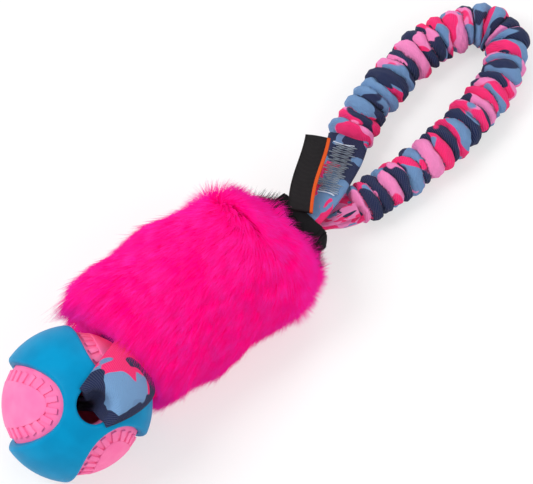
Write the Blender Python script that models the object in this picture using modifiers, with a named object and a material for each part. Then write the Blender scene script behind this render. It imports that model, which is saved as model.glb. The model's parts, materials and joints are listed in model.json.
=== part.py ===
"""Bungee tug toy: a rubber ball on a webbing loop, a stuffed fur sleeve and a gathered stretch handle.

Metres, +Z up. The toy lies on the floor, z = 0, with its long axis along +X and the handle loop at +X.
The origin is the middle of the flat face on which the fur sleeve rests.
"""

import math

import bmesh
import bpy
import numpy as np
from mathutils import Matrix, Vector

# Clearance between pieces that touch, how far a cutter reaches past what it cuts, and welding distance
GAP = 0.00035
OVERRUN = 0.004
WELD = 0.00001
UNIT = 1.0

# Ball: a shell with long oval windows over a hollow inner ball with a raised pad in each window
BALL_RADIUS = 0.038
SHELL_WALL = 0.0042
BORE_RADIUS = 0.0092
BORE_RIM_RADIUS = 0.0015
INNER_WALL = 0.00845
WINDOW_COUNT = 3
WINDOW_HALF_LENGTH = math.radians(65.5)
WINDOW_HALF_WIDTH = math.radians(33.5)
WINDOW_SQUARENESS = 2.2
PAD_INSET = math.radians(14.0)
PAD_RISE = 0.0012
BALL_TILT = math.radians(34.1)
BALL_HEADING = math.radians(-94.7)
BALL_ROLL = math.radians(-2.8)
BALL_REACH = 0.085
BALL_ASIDE = -0.007

# Webbing strap that runs through the ball and into the sleeve
WEBBING_WIDTH = 0.030
WEBBING_THICKNESS = 0.002
PLEAT_CURL = math.radians(155.0)
STRAP_SLACK_ANGLE = math.radians(30.0)
STRAP_BEND_SHARE = 0.45

# Fur sleeve and its wadding
SLEEVE_LENGTH = 0.116
SLEEVE_MOUTH_X = -0.044
SLEEVE_RADIUS = 0.034
SLEEVE_WALL = 0.0135
SLEEVE_EDGE_WALL = 0.0028
REST_DEPTH = 0.0005
FILLING_START_SHARE = 0.31
FILLING_END_SHARE = 0.67
FILLING_DROP_SHARE = 0.5

# Sewn end of the sleeve, bound with tape
JOIN_WIDTH = 0.024
JOIN_HEIGHT = 0.0218
JOIN_OVERLAP = 0.022
BACKING_WALL = 0.0014
TAPE_LENGTH = 0.013
TAPE_WALL = 0.0013
TAPE_OVERHANG = 0.0015
ROUND = 2.0
SQUARENESS = 8.0

# Gathered handle: a ribbed sleeve of tubular webbing over one bungee core
HANDLE_LENGTH = 0.160
HANDLE_SPREAD = 0.052
HANDLE_RADIUS = 0.0113
GROOVE_RADIUS = 0.0096
CORE_RADIUS = 0.006
CORE_CLEARANCE = 0.0006
HANDLE_RIBS = 30
UPPER_LEG_RIBS = 6
LOWER_LEG_RIBS = 8
FOLDED_WIDTH = 0.0165
FOLDED_THICKNESS = 0.005

# Label and stitching
LABEL_LENGTH = 0.043
LABEL_WIDTH = 0.0115
LABEL_THICKNESS = 0.0016
LABEL_TURN = math.radians(36.0)
LABEL_RISE = 0.003
LABEL_ROOT_SHARE = 0.80
THREAD_RADIUS = 0.0005
SEAM_LIFT = THREAD_RADIUS + 2 * GAP
HANDLE_STITCHES = 15
TAPE_STITCHES = 14
TAPE_SEAM_SHARE = 0.8
TAPE_STITCH_SHARES = (0.12, 0.24)

# Facets
BALL_SEGMENTS = 40
BORE_SEGMENTS = 28
WINDOW_SEGMENTS = 44
WINDOW_CELL_SHARES = (0.25, 0.5, 0.75, 1.0)
SLEEVE_SEGMENTS = 32
BAND_CELLS = 6
TUBE_BEVEL_STEPS = 2
BORE_STEPS = 3
RIM_STEPS = 5
FAN_STEPS = 6
RUN_STEPS = 7
SLOT_STEPS = 5
KNOT_STEPS = 24
FLAT_END_STEPS = 16
LABEL_STEPS = 8

X_AXIS = Vector((1.0, 0.0, 0.0))
Y_AXIS = Vector((0.0, 1.0, 0.0))
Z_AXIS = Vector((0.0, 0.0, 1.0))

# Fur sleeve sections from mouth to bound end: along, side shift, width, height and middle's height as shares
SLEEVE_TABLE_SHARES = (
    (0.000, 0.100, 0.930, 0.930, 1.000),
    (0.040, 0.095, 0.980, 0.980, 1.000),
    (0.100, 0.085, 1.000, 1.000, 1.000),
    (0.180, 0.075, 1.000, 1.000, 1.000),
    (0.380, 0.040, 1.000, 1.000, 1.000),
    (0.540, 0.000, 0.970, 0.985, 0.985),
    (0.670, -0.040, 0.930, 0.930, 0.930),
    (0.765, -0.065, 0.860, 0.790, 0.850),
    (0.835, -0.065, 0.740, 0.560, 0.740),
)
SEWN_SHIFT_SHARE = -0.03
WEBBING_LAYERS = 4
# Handle route from the upper flat end round the loop to the lower one: along and across as shares
ROUTE_SHARES = (
    (0.000, 0.455),
    (0.100, 0.575),
    (0.238, 0.675),
    (0.375, 0.720),
    (0.488, 0.712),
    (0.588, 0.625),
    (0.650, 0.423),
    (0.638, 0.183),
    (0.569, 0.000),
    (0.463, -0.135),
    (0.350, -0.192),
    (0.238, -0.240),
    (0.113, -0.250),
    (-0.013, -0.231),
    (-0.100, -0.190),
    (-0.165, -0.165),
)
# Flat upper end, from the tape to the gathers, as shares of the run between them, and its height
UPPER_END_SHARES = ((0.30, 0.14, 0.90), (0.56, 0.45, 0.58), (0.82, 0.78, 0.22))
LOWER_END_SHARES = ((0.30, 0.22, 0.86), (0.65, 0.60, 0.42))


def clear_scene():
    """Removes every object, so that the model is built in an empty scene."""
    for thing in list(bpy.data.objects):
        bpy.data.objects.remove(thing, do_unlink=True)


def new_collection(name):
    """Returns a new collection linked to the scene."""
    made = bpy.data.collections.new(name)
    bpy.context.scene.collection.children.link(made)
    return made


def material(name, colour, roughness, metallic=0.0):
    """Returns a Principled material of one colour."""
    made = bpy.data.materials.new(name)
    made.use_nodes = True
    shader = made.node_tree.nodes["Principled BSDF"]
    shader.inputs["Base Color"].default_value = (*colour, 1.0)
    shader.inputs["Roughness"].default_value = roughness
    shader.inputs["Metallic"].default_value = metallic
    made.diffuse_color = (*colour, 1.0)
    return made


def add_object(name, mesh, collection, surface=None):
    """Puts a mesh in the scene as a named object."""
    made = bpy.data.objects.new(name, mesh)
    collection.objects.link(made)
    if surface is not None:
        mesh.materials.append(surface)
    return made


def mesh_from(name, build):
    """Returns a mesh made by build on a new bmesh, with its faces turned out."""
    work = bmesh.new()
    build(work)
    bmesh.ops.recalc_face_normals(work, faces=work.faces)
    mesh = bpy.data.meshes.new(name)
    work.to_mesh(mesh)
    work.free()
    mesh.shade_smooth()
    return mesh


def skin_into(work, loops):
    """Adds the quads between loops of vertices of equal count."""
    count = len(loops[0])
    for first, second in zip(loops, loops[1:]):
        for i in range(count):
            j = (i + 1) % count
            work.faces.new((first[i], first[j], second[j], second[i]))


def loft_into(work, rings):
    """Adds a closed skin over rings of equal, even count, with strips across both ends."""
    loops = [[work.verts.new(point) for point in ring] for ring in rings]
    skin_into(work, loops)
    count = len(loops[0])
    for loop in (loops[0], loops[-1]):
        for i in range(count // 2 - 1):
            work.faces.new((loop[i], loop[i + 1], loop[count - 2 - i], loop[count - 1 - i]))


def loft(name, rings):
    """Returns the mesh of one closed lofted solid."""
    return mesh_from(name, lambda work: loft_into(work, rings))


def tube_loft(name, outer, inner):
    """Returns a tube between an outer and an inner list of rings, open at both ends."""

    def build(work):
        skins = [[[work.verts.new(p) for p in ring] for ring in rings] for rings in (outer, inner)]
        count = len(outer[0])
        for i in range(count):
            j = (i + 1) % count
            for loops in skins:
                for first, second in zip(loops, loops[1:]):
                    work.faces.new((first[i], first[j], second[j], second[i]))
            for end in (0, -1):
                near, far = skins[0][end], skins[1][end]
                work.faces.new((near[i], near[j], far[j], far[i]))

    return mesh_from(name, build)


def oval(centre, half_width, half_height, squareness):
    """Returns a ring across X: an ellipse at squareness 2 and a rounded box above it."""
    ring = []
    for k in range(SLEEVE_SEGMENTS):
        turn = 2.0 * math.pi * k / SLEEVE_SEGMENTS
        side, up = math.cos(turn), math.sin(turn)
        side = math.copysign(abs(side) ** (ROUND / squareness), side)
        up = math.copysign(abs(up) ** (ROUND / squareness), up)
        ring.append(centre + Y_AXIS * half_width * side + Z_AXIS * half_height * up)
    return ring


def band_ring(centre, across, out, width, thickness, curl=0.0):
    """Returns the outline of a strap section, curled towards out by the angle curl."""
    tops, bottoms = [], []
    for k in range(BAND_CELLS + 1):
        along = (k / BAND_CELLS - 0.5) * width
        turn = (k / BAND_CELLS - 0.5) * curl
        side = math.sin(turn) * width / curl if curl else along
        lift = (1.0 - math.cos(turn)) * width / curl if curl else 0.0
        normal = out * math.cos(turn) - across * math.sin(turn)
        middle = centre + across * side + out * lift
        tops.append(middle + normal * (thickness / 2))
        bottoms.append(middle - normal * (thickness / 2))
    return tops + bottoms[::-1]


def bezier(start, start_handle, end_handle, end, steps):
    """Returns (point, tangent) pairs along a cubic curve, without its first point."""
    made = []
    for k in range(1, steps + 1):
        t = k / steps
        s = 1.0 - t
        point = start * s**3 + start_handle * 3 * s * s * t + end_handle * 3 * s * t * t + end * t**3
        slope = (start_handle - start) * s * s + (end_handle - start_handle) * 2 * s * t
        slope = slope + (end - end_handle) * t * t
        made.append((point, slope.normalized()))
    return made


def smooth_route(points, samples):
    """Returns points spread evenly along a smooth curve through the given ones."""
    knots = [points[0] * 2 - points[1], *points, points[-1] * 2 - points[-2]]
    fine = []
    for a, b, c, d in zip(knots, knots[1:], knots[2:], knots[3:]):
        for k in range(KNOT_STEPS):
            t = k / KNOT_STEPS
            fine.append(((b * 2) + (c - a) * t + (a * 2 - b * 5 + c * 4 - d) * t * t
                         + (b * 3 - a - c * 3 + d) * t**3) / 2)
    fine.append(points[-1])
    reach = np.concatenate(([0.0], np.cumsum([(q - p).length for p, q in zip(fine, fine[1:])])))
    wanted = np.linspace(0.0, reach[-1], samples)
    table = np.array([tuple(p) for p in fine])
    columns = [np.interp(wanted, reach, table[:, axis]) for axis in range(3)]
    return [Vector(row) for row in zip(*columns)]


def add_boolean(target, tool, operation="DIFFERENCE"):
    """Cuts target with tool, or joins tool to it."""
    step = target.modifiers.new(tool.name, "BOOLEAN")
    step.operation = operation
    step.solver = "EXACT"
    step.object = tool


def hide_cutter(cutter):
    """Marks an object as a cutter and returns it."""
    cutter.hide_render = True
    cutter.display_type = "WIRE"
    return cutter


def carried_by(thing, carrier):
    """Parents a world-placed object to a carrier without moving it."""
    bpy.context.view_layer.update()
    thing.parent = carrier
    thing.matrix_parent_inverse = carrier.matrix_world.inverted()


def add_pivot(name, place, collection, carrier=None, turn=None):
    """Returns an empty on a joint's axis."""
    pivot = bpy.data.objects.new(name, None)
    collection.objects.link(pivot)
    pivot.empty_display_size = BORE_RADIUS
    pivot.matrix_world = Matrix.Translation(place) @ (turn or Matrix.Identity(4))
    if carrier is not None:
        carried_by(pivot, carrier)
    bpy.context.view_layer.update()
    return pivot


def turned(name, outline, segments, collection, surface=None):
    """Returns an object turned about its Z axis from an outline that runs down its outer side."""
    mesh = bpy.data.meshes.new(name)
    points = [(radius, 0.0, height) for radius, height in outline]
    mesh.from_pydata(points, [(i, i + 1) for i in range(len(points) - 1)], [])
    made = add_object(name, mesh, collection, surface)
    screw = made.modifiers.new("turn", "SCREW")
    screw.steps = segments
    screw.render_steps = segments
    screw.use_merge_vertices = True
    screw.merge_threshold = WELD
    screw.use_smooth_shade = True
    return made


def evaluated_mesh(thing):
    """Returns a mesh copy of an object as its modifiers or its curve leave it."""
    view = bpy.context.evaluated_depsgraph_get()
    view.update()
    return bpy.data.meshes.new_from_object(thing.evaluated_get(view))


def oval_direction(window, length, width, turn):
    """Returns a direction on an oval round a window's middle, in the ball's frame."""
    up, side = math.cos(turn), math.sin(turn)
    rise = length * math.copysign(abs(up) ** (ROUND / WINDOW_SQUARENESS), up)
    swing = width * math.copysign(abs(side) ** (ROUND / WINDOW_SQUARENESS), side)
    ahead = math.cos(swing) * math.cos(rise)
    spin = Matrix.Rotation(BALL_ROLL + 2.0 * math.pi * window / WINDOW_COUNT, 3, "Z")
    return spin @ Vector((ahead, math.sin(swing), math.cos(swing) * math.sin(rise)))


def oval_outline(length, width, base, top):
    """Returns an oval block's (length, width, radius) rows, from its top's middle to its base's."""
    sizes = [(length * share, width * share) for share in WINDOW_CELL_SHARES]
    rows = [(*size, top) for size in sizes] + [(*size, base) for size in sizes[::-1]]
    return [(0.0, 0.0, top), *rows, (0.0, 0.0, base)]


def window_blocks(name, outline, collection):
    """Returns one object with an oval block on each window's middle."""
    turns = [2.0 * math.pi * k / WINDOW_SEGMENTS for k in range(WINDOW_SEGMENTS)]

    def build(work):
        for window in range(WINDOW_COUNT):
            loops = []
            for length, width, radius in outline[1:-1]:
                ring = [oval_direction(window, length, width, turn) * radius for turn in turns]
                loops.append([work.verts.new(point) for point in ring])
            skin_into(work, loops)
            for loop, (length, width, radius) in ((loops[0], outline[0]), (loops[-1], outline[-1])):
                tip = work.verts.new(oval_direction(window, length, width, 0.0) * radius)
                for i in range(WINDOW_SEGMENTS):
                    work.faces.new((loop[i], loop[(i + 1) % WINDOW_SEGMENTS], tip))

    return add_object(name, mesh_from(name, build), collection)


def bore_outline():
    """Returns the strap hole's outline in the ball's frame, flared by the rim's rounding."""
    centre = math.sqrt((BALL_RADIUS - BORE_RIM_RADIUS) ** 2 - (BORE_RADIUS + BORE_RIM_RADIUS) ** 2)
    flare_end = math.pi / 2 + math.asin((BORE_RADIUS + BORE_RIM_RADIUS) / (BALL_RADIUS - BORE_RIM_RADIUS))
    upper = []
    for k in range(RIM_STEPS + 1):
        turn = flare_end * k / RIM_STEPS
        radius = BORE_RADIUS + BORE_RIM_RADIUS * (1.0 - math.cos(turn))
        upper.append((radius, centre + BORE_RIM_RADIUS * math.sin(turn)))
    widest, height = upper[-1]
    slope = Vector((math.sin(flare_end), math.cos(flare_end)))
    upper.append((widest + slope.x * OVERRUN, height + slope.y * OVERRUN))
    tip = BALL_RADIUS + OVERRUN
    top = [(0.0, tip), (upper[-1][0], tip), *upper[::-1]]
    return top + [(radius, -height) for radius, height in top[::-1]]


def make_ball(pivot, parts, cutters):
    """Makes the windowed shell and the inner ball on the strap hole's axis."""
    inner_radius = BALL_RADIUS - SHELL_WALL
    core_radius = inner_radius - GAP
    base = core_radius - OVERRUN / 2

    window = oval_outline(WINDOW_HALF_LENGTH, WINDOW_HALF_WIDTH, base, BALL_RADIUS + OVERRUN)
    windows = hide_cutter(window_blocks("window_cutter", window, cutters))
    bore = hide_cutter(turned("bore_cutter", bore_outline(), BORE_SEGMENTS, cutters))
    shell = add_object("ball_shell", round_mesh("ball_shell", BALL_RADIUS, BALL_SEGMENTS), parts,
                       material("blue_rubber", (0.0, 0.30, 0.52), 0.45))
    hollow_mesh = round_mesh("shell_hollow", inner_radius, BALL_SEGMENTS)
    hollow = hide_cutter(add_object("shell_hollow", hollow_mesh, cutters))

    pad_sizes = (WINDOW_HALF_LENGTH - PAD_INSET, WINDOW_HALF_WIDTH - PAD_INSET)
    pad = oval_outline(*pad_sizes, base, core_radius + PAD_RISE)
    pads = hide_cutter(window_blocks("pad_tool", pad, cutters))
    core = add_object("inner_ball", round_mesh("inner_ball", core_radius, BALL_SEGMENTS), parts,
                      material("pink_rubber", (1.0, 0.22, 0.48), 0.5))
    cavity_mesh = round_mesh("cavity", core_radius - INNER_WALL, BORE_SEGMENTS)
    cavity = hide_cutter(add_object("cavity_cutter", cavity_mesh, cutters))

    for thing in (windows, bore, shell, hollow, pads, core, cavity):
        thing.parent = pivot
    add_boolean(shell, hollow)
    add_boolean(shell, windows)
    add_boolean(shell, bore)
    add_boolean(core, pads, "UNION")
    add_boolean(core, cavity)
    add_boolean(core, bore)


def round_mesh(name, radius, segments):
    """Returns a sphere's mesh with its poles on Z."""

    def build(work):
        bmesh.ops.create_uvsphere(work, u_segments=segments, v_segments=segments // 2, radius=radius)

    return mesh_from(name, build)


def fibre_ring(fibres, thickness):
    """Returns a strap section's outline from the middle point and the outward side of each fibre."""
    tops = [middle + out * (thickness / 2) for middle, out in fibres]
    bottoms = [middle - out * (thickness / 2) for middle, out in fibres]
    return tops + bottoms[::-1]


def fibre_shares():
    """Returns the places of the strap's fibres across its width, from minus to plus one half."""
    return [k / BAND_CELLS - 0.5 for k in range(BAND_CELLS + 1)]


def strap_on_ball(pole, toward, across, leave):
    """Returns the strap's sections from the ball's middle, over the bore's rim, to where it leaves the shell.

    Inside the bore the webbing is pleated round the wall. Each fibre bends over the rounded rim and
    then fans out along the shell, up to the angle leave from the bore's axis.
    """
    half = GAP + WEBBING_THICKNESS / 2
    offset = BORE_RADIUS - half
    bend = BORE_RIM_RADIUS + half
    reach = math.sqrt((BALL_RADIUS - BORE_RIM_RADIUS) ** 2 - (offset + bend) ** 2)
    touch = math.asin((offset + bend) / (BALL_RADIUS - BORE_RIM_RADIUS))
    over = BALL_RADIUS + half
    spokes = [toward * math.cos(u * PLEAT_CURL) + across * math.sin(u * PLEAT_CURL) for u in fibre_shares()]
    sections = []
    for k in range(BORE_STEPS):
        sections.append([(pole * (reach * k / BORE_STEPS) + spoke * offset, -spoke) for spoke in spokes])
    for k in range(RIM_STEPS + 1):
        turn = (math.pi / 2 + touch) * k / RIM_STEPS
        section = []
        for spoke in spokes:
            out = pole * math.sin(turn) - spoke * math.cos(turn)
            section.append((pole * reach + spoke * (offset + bend) + out * bend, out))
        sections.append(section)
    last = pole * math.cos(leave) + toward * math.sin(leave)
    for k in range(1, FAN_STEPS + 1):
        section = []
        for spoke, u in zip(spokes, fibre_shares()):
            near = pole * math.cos(touch) + spoke * math.sin(touch)
            lean = u * WEBBING_WIDTH / over
            far = last * math.cos(lean) + across * math.sin(lean)
            out = near.slerp(far, k / FAN_STEPS)
            section.append((out * over, out))
        sections.append(section)
    return sections


def strap_half(pole, toward, across, slot, join):
    """Returns the outlines of one half of the strap, from the ball's middle out to its sewn end."""
    over = BALL_RADIUS + GAP + WEBBING_THICKNESS / 2
    leave = pole.angle(slot) - math.acos(over / slot.length) + STRAP_SLACK_ANGLE
    rings = [fibre_ring(section, WEBBING_THICKNESS) for section in strap_on_ball(pole, toward, across, leave)]
    start = (pole * math.cos(leave) + toward * math.sin(leave)) * over
    slope = toward * math.cos(leave) - pole * math.sin(leave)
    side = 1 if pole.z > 0 else -1
    run = (slot - start).length
    handles = (start + slope * run * STRAP_BEND_SHARE, slot - X_AXIS * run * STRAP_BEND_SHARE)
    for k, (point, tangent) in enumerate(bezier(start, *handles, slot, RUN_STEPS), 1):
        flat = across.lerp(Y_AXIS, k / RUN_STEPS)
        flat = (flat - tangent * flat.dot(tangent)).normalized()
        curl = -WEBBING_WIDTH / over * (1 - k / RUN_STEPS)
        out = tangent.cross(flat) * side
        rings.append(band_ring(point, flat, out, WEBBING_WIDTH, WEBBING_THICKNESS, curl))
    middle, end = join
    bent = (middle - slot).length
    handles = (slot + X_AXIS * bent / 2, middle - X_AXIS * bent / 4)
    for point, tangent in bezier(slot, *handles, middle, SLOT_STEPS):
        share = (point.x - slot.x) / (middle.x - slot.x)
        width = mix(WEBBING_WIDTH, JOIN_WIDTH, share)
        rings.append(band_ring(point, Y_AXIS, tangent.cross(Y_AXIS) * side, width, WEBBING_THICKNESS))
    rings.append(band_ring(end, Y_AXIS, Z_AXIS * side, JOIN_WIDTH, WEBBING_THICKNESS))
    return rings


def mix(low, high, share):
    """Returns the value at a share of the way from low to high."""
    return low + (high - low) * share


def layer(level):
    """Returns the height of a webbing layer in the sewn end, counted in layers from its middle."""
    return JOIN_HEIGHT + level * (WEBBING_THICKNESS + GAP)


def strap_rings(ball_centre):
    """Returns the strap's section outlines in world space from its upper to its lower sewn end."""
    pole = Matrix.Rotation(BALL_HEADING, 3, "Z") @ Matrix.Rotation(BALL_TILT, 3, "Y") @ Z_AXIS
    slot = Vector((filling_start(), sleeve_shift(FILLING_START_SHARE), JOIN_HEIGHT)) - ball_centre
    toward = (slot - pole * slot.dot(pole)).normalized()
    across = pole.cross(toward)
    join_x = tape_start() - JOIN_OVERLAP / 2
    end_x = sleeve_end() - GAP
    halves = []
    for sign in (1.0, -1.0):
        lift = Z_AXIS * sign * (WEBBING_THICKNESS + GAP) / 2
        side = join_side()
        join = [Vector((x, side, layer(sign / 2))) - ball_centre for x in (join_x, end_x)]
        rings = strap_half(pole * sign, toward, across, slot + lift, join)
        halves.append([[point + ball_centre for point in ring] for ring in rings])
    return halves[0][::-1] + halves[1][1:]


def filling_start():
    """Returns where the wadding begins along X."""
    return SLEEVE_MOUTH_X + SLEEVE_LENGTH * FILLING_START_SHARE


def filling_end():
    """Returns where the wadding ends along X."""
    return SLEEVE_MOUTH_X + SLEEVE_LENGTH * FILLING_END_SHARE


def sleeve_end():
    """Returns where the sleeve's backing ends along X, inside the tape."""
    return SLEEVE_MOUTH_X + SLEEVE_LENGTH


def tape_start():
    """Returns where the binding tape begins along X."""
    return sleeve_end() + TAPE_OVERHANG - TAPE_LENGTH


def sleeve_shift(share):
    """Returns the sideways shift of the sleeve's middle at a share of its length."""
    alongs = [row[0] for row in SLEEVE_TABLE_SHARES] + [1.0]
    shifts = [row[1] for row in SLEEVE_TABLE_SHARES] + [SEWN_SHIFT_SHARE]
    return SLEEVE_RADIUS * float(np.interp(share, alongs, shifts))


def join_side():
    """Returns the sideways place of the sewn end."""
    return sleeve_shift(1.0)


def join_half_sizes():
    """Returns half the width and height of the stack of webbing in the sewn end."""
    height = WEBBING_LAYERS * WEBBING_THICKNESS + (WEBBING_LAYERS - 1) * GAP
    return JOIN_WIDTH / 2 + 3 * GAP, height / 2 + 3 * GAP


def ball_centre_height():
    """Returns how high the ball sits, on the floor or on the strap's lower run if that is lower."""
    height = BALL_RADIUS
    for _ in range(3):
        centre = Vector((-BALL_REACH, BALL_ASIDE, height))
        near = [point.z for ring in strap_rings(centre) for point in ring if point.x < SLEEVE_MOUTH_X]
        height = max(height - min(near) - REST_DEPTH, BALL_RADIUS)
    return height


def sleeve_sections(strap):
    """Returns the sleeve's sections, each (centre, sizes, squareness) of its outside and then of its hole."""
    shares = (0.0, 0.25, 0.5, 0.75)
    points = [a.lerp(b, t) for one, two in zip(strap, strap[1:]) for a, b in zip(one, two) for t in shares]
    join_width, join_height = join_half_sizes()
    join = Vector((0.0, join_side(), JOIN_HEIGHT))
    roundness = math.cos(math.pi / SLEEVE_SEGMENTS)
    stations = [SLEEVE_MOUTH_X + SLEEVE_LENGTH * row[0] for row in SLEEVE_TABLE_SHARES]
    sections = []
    for k, (along, shift, width_share, height_share, level_share) in enumerate(SLEEVE_TABLE_SHARES):
        x = stations[k]
        centre = Vector((x, SLEEVE_RADIUS * shift, SLEEVE_RADIUS * level_share - REST_DEPTH))
        outer = (SLEEVE_RADIUS * width_share, SLEEVE_RADIUS * height_share)
        hole, squareness = Vector((x, centre.y, mix(centre.z, JOIN_HEIGHT, FILLING_DROP_SHARE))), ROUND
        inner = tuple(size - SLEEVE_WALL for size in outer)
        if along < FILLING_START_SHARE:
            low = stations[k - 1] if k else x - WEBBING_THICKNESS / 2
            near = [p for p in points if low <= p.x <= stations[k + 1]]
            for _ in range(3):
                reach = max(math.hypot(p.y - centre.y, p.z - centre.z) for p in near) / roundness + GAP
                reach = max(reach, inner[0])
                centre.z = max(centre.z, reach + SLEEVE_EDGE_WALL - REST_DEPTH)
            hole, inner = centre, (reach, reach)
            outer = tuple(max(size, reach + SLEEVE_EDGE_WALL) for size in outer)
        elif along > FILLING_END_SHARE:
            hole, squareness = Vector((x, join.y, join.z)), SQUARENESS
            floors = (WEBBING_WIDTH / 2 + 2 * GAP, join_height)
            inner = tuple(max(size, floor) for size, floor in zip(inner, floors))
        sections.append(((centre, outer, ROUND), (hole, inner, squareness)))
    inner = (join_width, join_height)
    outer = (join_width + BACKING_WALL, join_height + BACKING_WALL)
    for x in (tape_start() - GAP, sleeve_end()):
        centre = Vector((x, join.y, join.z))
        sections.append(((centre, outer, SQUARENESS), (centre, inner, SQUARENESS)))
    return sections


def make_sleeve(strap, parts, floor):
    """Makes the fur sleeve, its wadding and the binding tape."""
    sections = sleeve_sections(strap)
    outer = [oval(centre, *sizes, squareness) for (centre, sizes, squareness), _ in sections]
    inner = [oval(centre, *sizes, squareness) for _, (centre, sizes, squareness) in sections]
    sleeve = add_object("fur_sleeve", tube_loft("fur_sleeve", outer, inner), parts,
                        material("magenta_fur", (1.0, 0.01, 0.30), 0.9))
    add_boolean(sleeve, floor)

    holes = [hole for _, hole in sections]
    packed = [hole for hole in holes if filling_start() < hole[0].x < filling_end()]
    rows = [between_holes(holes, filling_start()), *packed, between_holes(holes, filling_end())]
    skin, slot = [], []
    for centre, hole, _ in rows:
        skin.append(oval(centre, hole[0] - GAP, hole[1] - GAP, ROUND))
        middle = Vector((centre.x, centre.y, JOIN_HEIGHT))
        passage = (WEBBING_WIDTH / 2 + 2 * GAP, WEBBING_THICKNESS * 3 / 2 + 3 * GAP)
        slot.append(oval(middle, *passage, SQUARENESS))
    add_object("fur_filling", tube_loft("fur_filling", skin, slot), parts,
               material("wadding", (0.85, 0.85, 0.82), 0.95))

    width, height = (size + BACKING_WALL + GAP for size in join_half_sizes())
    rims = [Vector((x, join_side(), JOIN_HEIGHT)) for x in (tape_start(), sleeve_end() + TAPE_OVERHANG)]
    holes = [oval(c, width, height, SQUARENESS) for c in rims]
    faces = [oval(c, width + TAPE_WALL, height + TAPE_WALL, SQUARENESS) for c in rims]
    add_object("binding_tape", tube_loft("binding_tape", faces, holes), parts,
               material("black_tape", (0.02, 0.016, 0.02), 0.8))


def between_holes(holes, x):
    """Returns the sleeve's hole at any place along X."""
    for near, far in zip(holes, holes[1:]):
        if near[0].x <= x <= far[0].x:
            share = (x - near[0].x) / (far[0].x - near[0].x)
            sizes = tuple(mix(a, b, share) for a, b in zip(near[1], far[1]))
            return near[0].lerp(far[0], share), sizes, ROUND
    raise ValueError("outside the sleeve")


def handle_route():
    """Returns the gathered handle's centre line as evenly spread points."""
    start = sleeve_end() + TAPE_OVERHANG + HANDLE_LENGTH / 3
    level = HANDLE_RADIUS - REST_DEPTH
    points = [Vector((start + HANDLE_LENGTH * along, HANDLE_SPREAD * across, level))
              for along, across in ROUTE_SHARES]
    return smooth_route(points, 2 * HANDLE_RIBS + 1)


def ribbed_tube(name, points, radii, collection, surface=None):
    """Returns a mesh object: a tube on points with a radius at each, its caps welded."""
    line = bpy.data.curves.new(name, "CURVE")
    line.dimensions = "3D"
    line.bevel_depth = UNIT
    line.bevel_resolution = TUBE_BEVEL_STEPS
    line.use_fill_caps = True
    spline = line.splines.new("POLY")
    spline.points.add(len(points) - 1)
    for knot, point, radius in zip(spline.points, points, radii):
        knot.co = (*point, UNIT)
        knot.radius = radius
    guide = bpy.data.objects.new(name + "_guide", line)
    collection.objects.link(guide)
    mesh = evaluated_mesh(guide)
    bpy.data.objects.remove(guide, do_unlink=True)
    work = bmesh.new()
    work.from_mesh(mesh)
    bmesh.ops.remove_doubles(work, verts=work.verts, dist=WELD)
    work.to_mesh(mesh)
    work.free()
    mesh.materials.clear()
    mesh.shade_smooth()
    mesh.name = name
    return add_object(name, mesh, collection, surface)


def make_handle(parts, cutters, floor):
    """Makes the gathered sleeve in its three stretches, with the bungee core inside."""
    route = handle_route()
    webbing = material("camo_webbing", (0.62, 0.24, 0.42), 0.85)
    radii = [HANDLE_RADIUS if k % 2 else GROOVE_RADIUS for k in range(len(route))]
    longer = [route[0] * 2 - route[1], *route, route[-1] * 2 - route[-2]]
    bore_radii = [CORE_RADIUS + CORE_CLEARANCE] * len(longer)
    bore = hide_cutter(ribbed_tube("core_bore", longer, bore_radii, cutters))
    ribbed_tube("bungee_core", route, [CORE_RADIUS] * len(route), parts,
                material("bungee", (0.8, 0.78, 0.74), 0.7))
    first = 2 * UPPER_LEG_RIBS
    second = 2 * (HANDLE_RIBS - LOWER_LEG_RIBS)
    spans = {"upper_leg_sleeve": (0, first), "grip_sleeve": (first, second),
             "lower_leg_sleeve": (second, len(route) - 1)}
    made = {}
    for name, (start, stop) in spans.items():
        line = list(route[start : stop + 1])
        if start:
            line[0] = line[0] + (line[1] - line[0]).normalized() * GAP / 2
        if stop < len(route) - 1:
            line[-1] = line[-1] + (line[-2] - line[-1]).normalized() * GAP / 2
        made[name] = ribbed_tube(name, line, radii[start : stop + 1], parts, webbing)
        add_boolean(made[name], bore)
        add_boolean(made[name], floor)
    return made, route, webbing


def flat_end_frames(start, stop, shares, leave):
    """Returns (point, tangent) pairs along a flat end from the tape to the gathers."""
    middle = [Vector((mix(start.x, stop.x, a), mix(start.y, stop.y, b), mix(stop.z, start.z, c)))
              for a, b, c in shares]
    inside = Vector((tape_start() - JOIN_OVERLAP, start.y, start.z))
    mouth = Vector((tape_start(), start.y, start.z))
    points = smooth_route([inside, mouth, start, *middle, stop], FLAT_END_STEPS)
    tangents = [(q - p).normalized() for p, q in zip(points, points[1:])] + [leave]
    return list(zip(points, tangents))


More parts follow.
